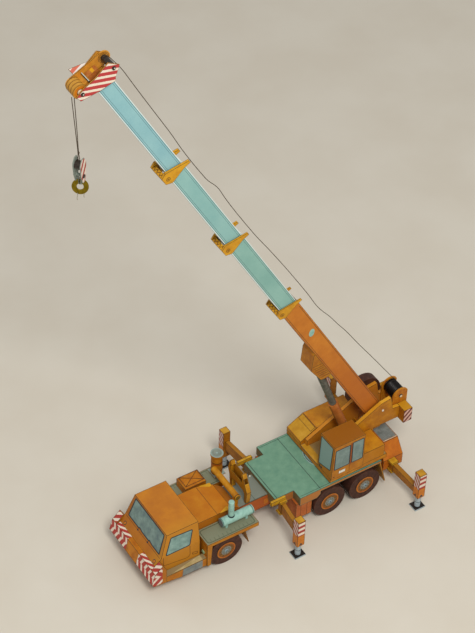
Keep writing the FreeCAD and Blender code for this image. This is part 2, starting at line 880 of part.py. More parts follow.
def luff_rod():
    reach = rod_reach()
    rod = Part.makeCylinder(rod_r, reach - rod_tail, V(rod_tail, 0, 0), V(1, 0, 0))
    eye = pin_y(reach, 0, eye_r, -eye_half, eye_half)
    return fuse([rod, eye])


def rod_reach():
    ex, ez = boom_point(eye_u, eye_w)
    return math.hypot(ex - foot_pin_x, ez - foot_pin_z)


def along_cylinder(shape):
    ex, ez = boom_point(eye_u, eye_w)
    rise = math.degrees(math.atan2(ez - foot_pin_z, ex - foot_pin_x))
    turned = shape.copy()
    turned.rotate(V(0, 0, 0), V(0, 1, 0), -rise)
    turned.translate(V(foot_pin_x, 0, foot_pin_z))
    return turned


def hook_parts():
    """Falls, block and ring that hang from the head sheaves."""
    hx, hz = boom_point(sheave_u, sheave_w)
    x = hx + fall_x
    top = hz - sheave_r - gap
    axis_z = top - fall_len
    turn = math.radians(hook_turn)
    falls = []
    for side in (-roller_side(), roller_side()):
        fall_at = (x + side * math.cos(turn), fall_y + side * math.sin(turn))
        falls.append(pin_z(*fall_at, fall_r, axis_z, top))
    block, ring = hook_block(), hook_ring()
    for shape in (block, ring):
        shape.rotate(V(0, 0, 0), V(0, 0, 1), hook_turn)
        shape.translate(V(x, fall_y, axis_z))
    return Part.makeCompound(falls), block, ring, (x, top, axis_z + ring_z())


def hook_block():
    """Two plates with the roller between them, a pin, and a wire loop down through the ring."""
    half = block_gap / 2
    outline = [
        (block_end, block_top),
        (block_w / 2, block_shoulder),
        (block_w / 2 - block_waist, block_waist_z),
        (block_end, block_low),
    ]
    outline += [(-x, z) for x, z in reversed(outline)]
    plate = side_prism(outline, half, half + block_plate)
    roller = pin_y(0, 0, roller_hook_r, -half, half)
    pin = pin_y(0, block_pin_z, block_pin_r, -half, half)
    foot_top = ring_z() + ring_in
    foot = box(-wire / 2, wire / 2, -ring_thick, ring_thick, foot_top - wire, foot_top)
    parts = [plate, mirror_y(plate), roller, pin, foot]
    for y in (-ring_thick, ring_thick - wire):
        parts.append(box(-wire / 2, wire / 2, y, y + wire, foot_top - wire, block_pin_z))
    return fuse(parts)


def hook_ring():
    half = ring_thick / 2
    ring = pin_y(0, ring_z(), ring_out, -half, half)
    return ring.cut(pin_y(0, ring_z(), ring_in, -half, half))


def ring_z():
    """Height of the ring's middle from the roller's axis."""
    return block_low - ring_out + ring_lap


def roller_side():
    """Distance of a fall from the middle of the hook's roller."""
    return roller_hook_r + fall_r + fit


def build():
    nodes = {}
    for name, width in (("front", single_w), ("middle", twin_w), ("rear", twin_w)):
        nodes[f"tyres_{name}"], nodes[f"wheels_{name}"] = axle_set(name, width)
    cab = truck_cab_block()
    nodes["chassis_frame"] = chassis_frame()
    nodes["truck_cab"] = cab
    nodes["bumper"] = bumper()
    nodes["side_steps"] = side_steps()
    nodes["engine_cover"] = engine_cover()
    nodes["fender_left"] = fender()
    nodes["fender_right"] = mirror_y(fender())
    nodes["storage_box"] = storage_box()
    nodes["muffler"] = muffler()
    nodes["air_filter"] = air_filter()
    nodes["intake_tube"] = intake_tube()
    nodes["boom_rest"] = boom_rest()
    nodes["main_deck"] = main_deck()
    nodes["slewing_ring"] = slewing_ring()
    nodes["side_boxes"] = side_boxes()
    nodes["mudguards"] = mudguards()
    nodes["tail_body"] = tail_body()
    nodes["outrigger_yokes"] = yokes()
    for name, o in outriggers.items():
        beam, foot = outrigger(o), jack(o)
        nodes[f"outrigger_{name}_left"], nodes[f"jack_{name}_left"] = beam, foot
        nodes[f"outrigger_{name}_right"], nodes[f"jack_{name}_right"] = mirror_y(beam), mirror_y(foot)
    nodes["upper_base"] = upper_base()
    nodes["crane_cab"] = crane_cab()
    nodes["left_housing"] = left_housing()
    nodes["right_housing"] = right_housing()
    nodes["side_frame"] = side_frame()
    nodes["winch_cheeks"] = winch_cheeks()
    nodes["winch_drum"] = winch_drum()
    nodes["counterweight"] = counterweight()
    nodes["spare_tyre"], nodes["spare_disc"] = spare_wheel()
    nodes["luff_barrel"] = along_cylinder(luff_barrel())
    nodes["luff_rod"] = along_cylinder(luff_rod())
    nodes["boom_base"] = on_boom(boom_base())
    nodes["cylinder_bracket"] = on_boom(cylinder_bracket())
    for i in range(3):
        nodes[f"collar_{i}"] = on_boom(collar(i))
    for i in range(1, 4):
        start = section_ends[i - 1] - section_lap
        nodes[f"boom_section_{i}"] = on_boom(boom_tube(i, start, section_ends[i]))
    nodes["boom_head"] = on_boom(boom_head())
    nodes["head_sheaves"] = on_boom(head_sheaves())
    falls, block, ring, place = hook_parts()
    nodes["hoist_falls"], nodes["hook_block"], nodes["hook_ring"] = falls, block, ring
    return nodes, place


def main():
    os.makedirs("parts", exist_ok=True)
    nodes, place = build()
    for name, shape in nodes.items():
        shape.translate(V(-middle_x, 0, 0))
        if not shape.isValid():
            print("invalid", name)
        shape.exportStep(f"parts/{name}.step")
    boxes = [s.BoundBox for s in nodes.values()]
    low = (min(b.XMin for b in boxes), min(b.YMin for b in boxes), min(b.ZMin for b in boxes))
    high = (max(b.XMax for b in boxes), max(b.YMax for b in boxes), max(b.ZMax for b in boxes))
    print(len(nodes), "nodes", [round(v, 2) for v in low + high])
    print("hook line", [round(v, 3) for v in place], "rod reach", round(rod_reach(), 3))


main()
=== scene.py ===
import json
import math

import bmesh
import bpy
import numpy as np
from mathutils import Matrix, Vector
from mathutils.bvhtree import BVHTree


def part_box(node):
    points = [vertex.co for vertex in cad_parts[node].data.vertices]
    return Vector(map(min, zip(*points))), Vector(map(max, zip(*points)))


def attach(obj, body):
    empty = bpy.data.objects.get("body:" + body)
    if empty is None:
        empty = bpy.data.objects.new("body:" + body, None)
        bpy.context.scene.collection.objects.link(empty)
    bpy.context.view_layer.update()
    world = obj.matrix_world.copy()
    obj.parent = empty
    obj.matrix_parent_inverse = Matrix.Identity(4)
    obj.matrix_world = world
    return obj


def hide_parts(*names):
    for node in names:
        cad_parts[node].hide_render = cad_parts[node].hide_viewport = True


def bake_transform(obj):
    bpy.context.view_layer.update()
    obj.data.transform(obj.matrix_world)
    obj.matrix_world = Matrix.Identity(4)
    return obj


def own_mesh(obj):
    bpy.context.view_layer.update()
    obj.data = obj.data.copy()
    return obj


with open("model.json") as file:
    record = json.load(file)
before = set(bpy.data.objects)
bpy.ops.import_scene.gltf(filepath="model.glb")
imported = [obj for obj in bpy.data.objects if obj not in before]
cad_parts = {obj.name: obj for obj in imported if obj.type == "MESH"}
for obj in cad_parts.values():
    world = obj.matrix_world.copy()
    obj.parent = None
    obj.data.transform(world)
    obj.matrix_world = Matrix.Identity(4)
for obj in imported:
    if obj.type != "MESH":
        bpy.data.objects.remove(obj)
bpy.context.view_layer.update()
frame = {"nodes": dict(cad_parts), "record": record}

RECORD = frame["record"]
BODY_OF = {node: body for body, nodes in RECORD["behaviour"]["bodies"].items() for node in nodes}

# Sizes below are in mm with x from the middle axle; the frame's own origin lies 68.04 mm ahead of that axle.
MM = 0.001
MIDDLE = np.array([-68.04, 0.0, 0.0])

# The boom's own axes: u along it from the pivot, w square to it upwards.
BOOM_PIVOT = np.array([-77.2, 0.0, 78.2])
BOOM_ANGLE = math.radians(60.3)
ALONG_BOOM = np.array([math.cos(BOOM_ANGLE), 0.0, math.sin(BOOM_ANGLE)])
OFF_BOOM = np.array([-math.sin(BOOM_ANGLE), 0.0, math.cos(BOOM_ANGLE)])

# The side from which each print is laid on, as a direction towards the card.
TOWARDS = {
    "near": (0.0, -1.0, 0.0),
    "far": (0.0, 1.0, 0.0),
    "top": (0.0, 0.0, -1.0),
    "front": (-1.0, 0.0, 0.0),
    "rear": (1.0, 0.0, 0.0),
    "boom_near": (0.0, -1.0, 0.0),
    "boom_far": (0.0, 1.0, 0.0),
    "boom_top": tuple(-OFF_BOOM),
}
FAR_OFF = 900.0
INK_RISE = 0.07
INK_SINK = 0.12
LINE = 0.5


# ---------------------------------------------------------------- shapes
def unit(vectors):
    """Each vector divided by its own length."""
    vectors = np.asarray(vectors, float)
    return vectors / np.maximum(np.linalg.norm(vectors, axis=-1, keepdims=True), 1e-12)


def boom(u, y, w):
    """A point at u along the boom, y across and w off it: pivot + u * along + w * off, in mm."""
    u, y, w = np.broadcast_arrays(np.asarray(u, float), y, w)
    return BOOM_PIVOT + u[..., None] * ALONG_BOOM + w[..., None] * OFF_BOOM + y[..., None] * np.array([0.0, 1.0, 0.0])


def spread(side, points):
    """Flat points of one side's drawing put in space, far off on the side that they are seen from."""
    p = np.asarray(points, float)
    a, b, o = p[:, 0], p[:, 1], np.zeros(len(p))
    if side in ("near", "far"):
        flat = np.stack([a, o, b], 1)
    elif side == "top":
        flat = np.stack([a, b, o], 1)
    elif side in ("front", "rear"):
        flat = np.stack([o, a, b], 1)
    elif side in ("boom_near", "boom_far"):
        flat = boom(a, 0.0, b)
    else:
        flat = boom(a, b, 0.0)
    return flat - np.array(TOWARDS[side]) * FAR_OFF


def rounded(outline, radius, steps=5):
    """Outline whose corners are parabola arcs: each arc runs between the points a radius either side of its corner."""
    p = np.asarray(outline, float)
    back, ahead = unit(np.roll(p, 1, 0) - p), unit(np.roll(p, -1, 0) - p)
    t = np.linspace(0.0, 1.0, steps)[None, :, None]
    start, end = (p + back * radius)[:, None], (p + ahead * radius)[:, None]
    arcs = (1 - t) ** 2 * start + 2 * t * (1 - t) * p[:, None] + t ** 2 * end
    return arcs.reshape(-1, 2)


def circle(a, b, radius, count=28):
    """Points at equal angles on a circle about (a, b)."""
    angle = np.linspace(0.0, 2 * np.pi, count, endpoint=False)
    return np.stack([a + radius * np.cos(angle), b + radius * np.sin(angle)], 1)


def slab(outline, out, rise, sink=INK_SINK):
    """Flat outline given thickness along its normal: one face rise above the card, one sink below it."""
    p = np.asarray(outline, float)
    normal = unit(np.cross(p, np.roll(p, -1, 0)).sum(0) - np.cross(p[:1], p[:1]).sum(0))
    area = np.cross(p - p[0], np.roll(p, -1, 0) - p[0]).sum(0)
    normal = unit(area)
    if normal @ np.asarray(out, float) < 0:
        p, normal = p[::-1], -normal
    k = len(p)
    i = np.arange(k)
    j = (i + 1) % k
    sides = np.stack([i + k, j + k, j, i], 1).tolist()
    return np.concatenate([p + normal * rise, p - normal * sink]), [i.tolist(), (i[::-1] + k).tolist()] + sides


def sweep(path, section, up, closed=False):
    """A flat section carried along a path: each ring is path + a * side + b * up, with side widened at a corner
    by one over the cosine of half its turn, so that both runs keep their width."""
    path, section = np.asarray(path, float), np.asarray(section, float)
    if closed:
        before, after = unit(path - np.roll(path, 1, 0)), unit(np.roll(path, -1, 0) - path)
    else:
        runs = unit(np.diff(path, axis=0))
        before = np.concatenate([runs[:1], runs])
        after = np.concatenate([runs, runs[-1:]])
    tangent = unit(before + after)
    widen = 1.0 / np.maximum((tangent * after).sum(1), 0.35)
    up = np.broadcast_to(np.asarray(up, float), path.shape)
    side = unit(np.cross(up, tangent))
    up = unit(np.cross(tangent, side))
    rings = (
        path[:, None]
        + section[None, :, :1] * (side * widen[:, None])[:, None]
        + section[None, :, 1:] * up[:, None]
    )
    m, k = len(path), len(section)
    ring = np.arange(m if closed else m - 1)
    a = np.arange(k)
    r, s = np.meshgrid(ring, a, indexing="ij")
    nr, ns = (r + 1) % m, (s + 1) % k
    faces = np.stack([r * k + s, r * k + ns, nr * k + ns, nr * k + s], -1).reshape(-1, 4).tolist()
    if not closed:
        faces += [a[::-1].tolist(), (a + (m - 1) * k).tolist()]
    return rings.reshape(-1, 3), faces


def strip(path, out, width, rise=INK_RISE, sink=INK_SINK, closed=False):
    """A flat printed line: an oblong section carried along the path, on the card's own plane."""
    w = width / 2
    return sweep(path, [(-w, -sink), (w, -sink), (w, rise), (-w, rise)], out, closed)


def tube(path, radius, up=(0.0, 0.0, 1.0), sides=8, closed=False):
    """A round section carried along a path."""
    return sweep(path, circle(0.0, 0.0, radius, sides), up, closed)


def turned(profile, centre, axis, count=40, closed=False):
    """A profile of (radius, height) turned about an axis: point = centre + r cos(t) e1 + r sin(t) e2 + h axis."""
    profile = np.asarray(profile, float)
    axis = unit(axis)
    e1 = unit(np.cross(axis, [0.31, 0.52, 0.79]))
    e2 = np.cross(axis, e1)
    t = np.linspace(0.0, 2 * np.pi, count, endpoint=False)
    radial = np.cos(t)[:, None] * e1 + np.sin(t)[:, None] * e2
    points = np.asarray(centre, float) + profile[None, :, :1] * radial[:, None] + profile[None, :, 1:] * axis
    k = len(profile)
    i, j = np.meshgrid(np.arange(count), np.arange(k if closed else k - 1), indexing="ij")
    ni, nj = (i + 1) % count, (j + 1) % k
    faces = np.stack([i * k + j, ni * k + j, ni * k + nj, i * k + nj], -1).reshape(-1, 4).tolist()
    return points.reshape(-1, 3), faces


def ridged(corners, waves, height, rise=INK_RISE):
    """A corrugated sheet on a four-cornered patch: the patch's bilinear point raised by height * |sin| across it,
    closed at the back by the same patch sunk into the card."""
    a, b, c, d = np.asarray(corners, float)
    nu, nv = 6 * waves + 1, 3
    u, v = np.meshgrid(np.linspace(0, 1, nu), np.linspace(0, 1, nv), indexing="ij")
    u, v = u[..., None], v[..., None]
    flat = (1 - u) * (1 - v) * a + u * (1 - v) * b + u * v * c + (1 - u) * v * d
    normal = unit(np.cross(b - a, d - a))
    front = flat + normal * (rise + height * np.abs(np.sin(u * np.pi * waves)))
    back = flat - normal * INK_SINK
    i, j = np.meshgrid(np.arange(nu - 1), np.arange(nv - 1), indexing="ij")
    quad = np.stack([i * nv + j, (i + 1) * nv + j, (i + 1) * nv + j + 1, i * nv + j + 1], -1).reshape(-1, 4)
    n = nu * nv
    rim = np.concatenate([np.arange(nu) * nv, (nu - 1) * nv + np.arange(1, nv), np.arange(nu - 2, -1, -1) * nv + nv - 1,
                          np.arange(nv - 2, 0, -1)])
    nxt = np.roll(rim, -1)
    walls = np.stack([rim + n, nxt + n, nxt, rim], 1)
    points = np.concatenate([front.reshape(-1, 3), back.reshape(-1, 3)])
    return points, quad.tolist() + (quad[:, ::-1] + n).tolist() + walls.tolist()


TREES = {}


def node_mesh(node):
    """Corner points in mm and triangles of a CAD node, with its loose triangles joined in a copy."""
    mesh = frame["nodes"][node].data
    points = np.zeros(len(mesh.vertices) * 3)
    mesh.vertices.foreach_get("co", points)
    mesh.calc_loop_triangles()
    tris = np.zeros(len(mesh.loop_triangles) * 3, int)
    mesh.loop_triangles.foreach_get("vertices", tris)
    points = points.reshape(-1, 3) / MM - MIDDLE
    _, first, index = np.unique(np.round(points, 3), axis=0, return_index=True, return_inverse=True)
    return points[first], index.reshape(-1)[tris].reshape(-1, 3)


def onto(node, side, points, at=None):
    """The points carried along the side's direction onto the plane of the card face that they meet: p + d * t, where
    t brings the point to the plane through the hit. Gives the points and the plane's normal."""
    if node not in TREES:
        corners, tris = node_mesh(node)
        TREES[node] = BVHTree.FromPolygons(corners.tolist(), tris.tolist())
    direction = np.array(TOWARDS[side])
    spaced = spread(side, points)
    start = spaced.mean(0) if at is None else spread(side, [at])[0]
    hit, normal, _, _ = TREES[node].ray_cast(Vector(start), Vector(direction))
    if hit is None:
        raise ValueError(f"no card of {node} is met from {side} at {points}")
    hit, normal = np.array(hit), np.array(normal)
    if normal @ direction > 0:
        normal = -normal
    reach = ((hit - spaced) @ normal) / (direction @ normal)
    return spaced + direction * reach[:, None], normal


# ---------------------------------------------------------------- what is laid on what
LAID = {}


def lay(body, finish, shell):
    """Keeps a closed shell for the one piece that this body has in this finish."""
    LAID.setdefault((body, finish), []).append(shell)


def panel(node, side, finish, outline, rise=0.08, at=None):
    """A printed patch on a node's card."""
    points, normal = onto(node, side, outline, at)
    lay(BODY_OF[node], finish, slab(points, normal, rise))


def line(node, side, finish, path, width=LINE, closed=False, at=None, rise=INK_RISE):
    """A printed line on a node's card."""
    points, normal = onto(node, side, path, at)
    lay(BODY_OF[node], finish, strip(points, normal, width, rise, closed=closed))


def lines(node, side, finish, paths, width=LINE, at=None):
    """Several separate printed lines on one face."""
    for path in paths:
        line(node, side, finish, path, width, at=at)


def pane(node, side, outline, radius, edge=0.9, finish="window_print", ink="window_ink", rise=0.08):
    """A printed window: grey-blue pane inside a thick dark outline with rounded corners."""
    shape = rounded(outline, radius)
    panel(node, side, finish, shape, rise)
    line(node, side, ink, shape, edge, closed=True, rise=rise + 0.05)


def fold_lines(node, finish, half=0.26, proud=0.05, sharp=24.0, least=1.6, inside=None, short=0.0):
    """Dark print on every fold of a node's card. For an edge whose two faces turn by more than sharp, the section has
    a point half a line's width out on each face, one on the fold and one inside it, and runs the edge's length, less
    the given shortness at both ends."""
    points, tris = node_mesh(node)
    corners = points[tris]
    normal = np.cross(corners[:, 1] - corners[:, 0], corners[:, 2] - corners[:, 0])
    normal = unit(normal)
    ends = tris[:, [[0, 1], [1, 2], [2, 0]]].reshape(-1, 2)
    apex = tris[:, [2, 0, 1]].reshape(-1)
    face = np.repeat(np.arange(len(tris)), 3)
    ends = np.sort(ends, 1)
    order = np.lexsort((ends[:, 1], ends[:, 0]))
    ends, apex, face = ends[order], apex[order], face[order]
    same = np.flatnonzero((ends[1:] == ends[:-1]).all(1))
    a, b = points[ends[same, 0]], points[ends[same, 1]]
    n1, n2 = normal[face[same]], normal[face[same + 1]]
    turn = (n1 * n2).sum(1)
    long_enough = np.linalg.norm(b - a, axis=1) > least
    keep = (turn < math.cos(math.radians(sharp))) & long_enough
    if inside is not None:
        keep &= inside((a + b) / 2)
    a, b, n1, n2, same = a[keep], b[keep], n1[keep], n2[keep], same[keep]
    if not len(a):
        return
    run = unit(b - a)
    in1, in2 = unit(np.cross(n1, run)), unit(np.cross(n2, run))
    in1 *= np.sign(((points[apex[same]] - a) * in1).sum(1))[:, None]
    in2 *= np.sign(((points[apex[same + 1]] - a) * in2).sum(1))[:, None]
    out = unit(n1 + n2)
    section = np.stack(
        [in1 * half + n1 * proud, out * proud * 1.4, in2 * half + n2 * proud, -out * 0.2 + (in1 + in2) * half * 0.4], 1
    )
    flip = (np.cross(section[:, 1] - section[:, 0], section[:, 2] - section[:, 1]) * run).sum(1) < 0
    section[flip] = section[flip][:, ::-1]
    a, b = a + run * short, b - run * short
    rings = np.stack([a[:, None] + section, b[:, None] + section], 1)
    first = np.arange(len(a))[:, None] * 8
    cell = np.array([[0, 1, 5, 4], [1, 2, 6, 5], [2, 3, 7, 6], [3, 0, 4, 7], [3, 2, 1, 0], [4, 5, 6, 7]])
    faces = (first[:, :, None] + cell[None]).reshape(-1, 4)
    lay(BODY_OF[node], finish, (rings.reshape(-1, 3), faces.tolist()))


def build(name, shells, finish, body, join=True):
    """One mesh from its shells, in the frame's metres, with coincident points joined and smooth shading across
    turns of less than 35 degrees."""
    points, faces, count = [], [], 0
    for shell_points, shell_faces in shells:
        points.append(shell_points)
        faces += [[i + count for i in f] for f in shell_faces]
        count += len(shell_points)
    mesh = bpy.data.meshes.new(name)
    mesh.from_pydata(((np.concatenate(points) + MIDDLE) * MM).tolist(), [], faces)
    if join:
        work = bmesh.new()
        work.from_mesh(mesh)
        bmesh.ops.remove_doubles(work, verts=work.verts, dist=2e-7)
        work.to_mesh(mesh)
        work.free()
    mesh.polygons.foreach_set("use_smooth", np.ones(len(mesh.polygons), bool))
    mesh.set_sharp_from_angle(angle=math.radians(35))
    mesh.materials.append(FINISH[finish])
    piece = bpy.data.objects.new(name, mesh)
    bpy.context.scene.collection.objects.link(piece)
    if body:
        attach(piece, body)
    return piece


# ---------------------------------------------------------------- finishes
CARD_IOR = 1.45


def linear(hex_colour):
    """sRGB hex to linear colour: each channel through the sRGB curve."""
    value = np.array([int(hex_colour[i:i + 2], 16) for i in (1, 3, 5)]) / 255.0
    value = np.where(value <= 0.04045, value / 12.92, ((value + 0.055) / 1.055) ** 2.4)
    return (*value.tolist(), 1.0)


def add(tree, kind, inputs=None, **settings):
    """Adds one node with its settings, and sets or links its inputs."""
    node = tree.nodes.new(kind)
    for name, value in settings.items():
        setattr(node, name, value)
    for key, value in (inputs or {}).items():
        if isinstance(value, bpy.types.NodeSocket):
            tree.links.new(value, node.inputs[key])
        else:
            node.inputs[key].default_value = value
    return node


def new_finish(name, roughness, bump_mm, bump_height, specular=0.3, metallic=0.0):
    """A material with its shader, the place in mm, and a fine grain that drives bump and a little roughness."""
    material = bpy.data.materials.new(name)
    material.use_nodes = True
    tree = material.node_tree
    tree.nodes.clear()
    out = add(tree, "ShaderNodeOutputMaterial")
    shader = add(tree, "ShaderNodeBsdfPrincipled", {"Metallic": metallic, "Specular IOR Level": specular})
    if not metallic:
        shader.inputs["IOR"].default_value = CARD_IOR
    tree.links.new(shader.outputs["BSDF"], out.inputs["Surface"])
    where = add(tree, "ShaderNodeTexCoord")
    place = add(tree, "ShaderNodeMapping", {"Vector": where.outputs["Object"], "Scale": (1000.0, 1000.0, 1000.0)})
    grain = add(tree, "ShaderNodeTexNoise", {"Vector": place.outputs["Vector"], "Scale": 1.0 / bump_mm, "Detail": 3.0})
    rough = add(tree, "ShaderNodeMapRange", {"Value": grain.outputs["Fac"], "From Min": 0.3, "From Max": 0.7,
                                             "To Min": roughness - 0.07, "To Max": roughness + 0.07})
    tree.links.new(rough.outputs["Result"], shader.inputs["Roughness"])
    bump = add(tree, "ShaderNodeBump", {"Height": grain.outputs["Fac"], "Strength": 0.35, "Distance": bump_height * MM})
    tree.links.new(bump.outputs["Normal"], shader.inputs["Normal"])
    return material, tree, shader, place.outputs["Vector"], grain.outputs["Fac"], where.outputs["Normal"]


def mix(tree, factor, a, b, blend="MIX"):
    """Mixes two colours, each a socket or a hex value."""
    node = add(tree, "ShaderNodeMix", {"Factor": factor}, data_type="RGBA", blend_type=blend)
    for slot, value in ((6, a), (7, b)):
        if isinstance(value, str):
            node.inputs[slot].default_value = linear(value)
        else:
            tree.links.new(value, node.inputs[slot])
    return node.outputs[2]


def share(tree, value, low, high, top=1.0):
    """A factor that rises from 0 at low to top at high."""
    node = add(tree, "ShaderNodeMapRange", {"Value": value, "From Min": low, "From Max": high, "To Min": 0.0, "To Max": top})
    return node.outputs["Result"]


def towards(tree, vector, direction, offset=0.0):
    """Distance along a direction in mm: the dot product, less an offset."""
    dot = add(tree, "ShaderNodeVectorMath", {0: vector, 1: direction}, operation="DOT_PRODUCT")
    return add(tree, "ShaderNodeMath", {0: dot.outputs["Value"], 1: offset}, operation="SUBTRACT").outputs[0]


def printed_card(name, base, deep, pale, rim=None, mottle=11.0, faces=(), fleck=0.10, rough=0.5, bands=()):
    """Printed model-kit card: airbrushed ink that clouds between a deeper and a paler tone, paper fibre, a lighter
    band beside each fold that is partly print and wear and partly a painted highlight, and other tones on faces
    that look in given directions and along given directions: print on some finishes, painted shade where they
    darken a side and painted light where they lift one."""
    material, tree, shader, place, grain, normal = new_finish(name, rough, 0.9, 0.25)
    cloud = add(tree, "ShaderNodeTexNoise", {"Vector": place, "Scale": 1.0 / mottle, "Detail": 4.0, "Roughness": 0.6})
    colour = mix(tree, share(tree, cloud.outputs["Fac"], 0.30, 0.50), deep, base)
    colour = mix(tree, share(tree, cloud.outputs["Fac"], 0.50, 0.70), colour, pale)
    # Tone by facing direction: print on some finishes, painted shade where a side is darkened, painted light where it
    # is lifted.
    for direction, tone, strength in faces:
        facing = share(tree, towards(tree, normal, unit(direction).tolist()), 0.80, 0.92, strength)
        colour = mix(tree, facing, colour, tone)
    # Tone along a direction: print gradients on most finishes, a painted lift of the shaded far side plate on one.
    for direction, start, end, tone, strength in bands:
        reach = towards(tree, place, unit(direction).tolist())
        colour = mix(tree, share(tree, reach, start, end, strength), colour, tone)
    # Lighter band beside each fold: partly print and wear, partly a painted highlight.
    if rim:
        soft = add(tree, "ShaderNodeBevel", {"Radius": 1.5 * MM}, samples=6)
        plain = add(tree, "ShaderNodeNewGeometry")
        same = add(tree, "ShaderNodeVectorMath", {0: soft.outputs["Normal"], 1: plain.outputs["True Normal"]},
                   operation="DOT_PRODUCT")
        fold_wear_and_highlight = share(tree, same.outputs["Value"], 0.995, 0.86, 0.55)
        colour = mix(tree, fold_wear_and_highlight, colour, rim)
    colour = mix(tree, share(tree, grain, 0.35, 0.75, fleck), colour, deep)
    tree.links.new(colour, shader.inputs["Base Color"])
    return material


def striped_card(name, first, second, direction, period, part=0.5, phase=0.0, rough=0.5):
    """Card printed with straight stripes: the place along a direction, divided by the period, is one ink in the first
    part of each period and the other ink in the rest, and the edges waver a little as print does."""
    material, tree, shader, place, grain, _ = new_finish(name, rough, 0.8, 0.2)
    reach = towards(tree, place, (unit(direction) / period).tolist(), phase)
    waver = add(tree, "ShaderNodeMath", {0: grain, 1: 0.10, 2: reach}, operation="MULTIPLY_ADD")
    fold = add(tree, "ShaderNodeMath", {0: waver.outputs[0]}, operation="FRACT")
    stripe = share(tree, fold.outputs[0], part - 0.02, part + 0.02)
    colour = mix(tree, stripe, first, second)
    colour = mix(tree, share(tree, grain, 0.4, 0.8, 0.22), colour, "#6B4A3C")
    tree.links.new(colour, shader.inputs["Base Color"])
    return material


def boom_card(name, half, tone, light, ink="#2C4854"):
    """Pale blue printed card of one boom tube, with two dark lines inside each long edge and a bare white fold: the
    distance from the tube's middle line picks the ink."""
    material, tree, shader, place, grain, _ = new_finish(name, 0.42, 1.1, 0.2)
    cloud = add(tree, "ShaderNodeTexNoise", {"Vector": place, "Scale": 1 / 26.0, "Detail": 3.0})
    colour = mix(tree, share(tree, cloud.outputs["Fac"], 0.32, 0.68), tone, light)
    pivot = BOOM_PIVOT + MIDDLE
    off = towards(tree, place, OFF_BOOM.tolist(), float(pivot @ OFF_BOOM) + BOOM_MIDDLE_W)
    away = add(tree, "ShaderNodeMath", {0: off}, operation="ABSOLUTE").outputs[0]
    for distance, width in ((2.5, 0.15), (1.05, 0.22)):
        gap = add(tree, "ShaderNodeMath", {0: away, 1: half - distance}, operation="SUBTRACT").outputs[0]
        near = add(tree, "ShaderNodeMath", {0: gap}, operation="ABSOLUTE").outputs[0]
        colour = mix(tree, share(tree, near, width, width * 0.5, 0.9), colour, ink)
    colour = mix(tree, share(tree, away, half - 0.75, half - 0.6, 0.85), colour, "#DDE8E6")
    colour = mix(tree, share(tree, grain, 0.4, 0.8, 0.12), colour, "#5F9196")
    tree.links.new(colour, shader.inputs["Base Color"])
    return material


def plain_ink(name, base, other, mottle=2.5, rough=0.5, specular=0.4, metallic=0.0, bump_mm=0.7, height=0.15):
    """Printed ink, paint or metal in one tone that clouds towards another."""
    material, tree, shader, place, grain, _ = new_finish(name, rough, bump_mm, height, specular, metallic)
    cloud = add(tree, "ShaderNodeTexNoise", {"Vector": place, "Scale": 1 / mottle, "Detail": 3.0})
    colour = mix(tree, share(tree, cloud.outputs["Fac"], 0.35, 0.65), base, other)
    tree.links.new(colour, shader.inputs["Base Color"])
    return material


UP = (0, 0, 1)
FORE = (1, 0, 0)
AFT = (-1, 0, 0)
NEAR = (0, 1, 0)
FAR = (0, -1, 0)
BOOM_MIDDLE_W = -6.3
BOOM_HALF = 9.1
TUBE_STEP = 0.6

# The head's bars run from low at the tip to high at the heel; across them is a quarter turn from that.
BARS_ACROSS_HEAD = unit(0.634 * OFF_BOOM + 0.773 * ALONG_BOOM)
BAR_PERIOD = 5.04
BAR_PHASE = float((BOOM_PIVOT + MIDDLE) @ BARS_ACROSS_HEAD + 450.9) / BAR_PERIOD - 0.76
RED = "#AE3A32"
CREAM = "#E6D8C6"

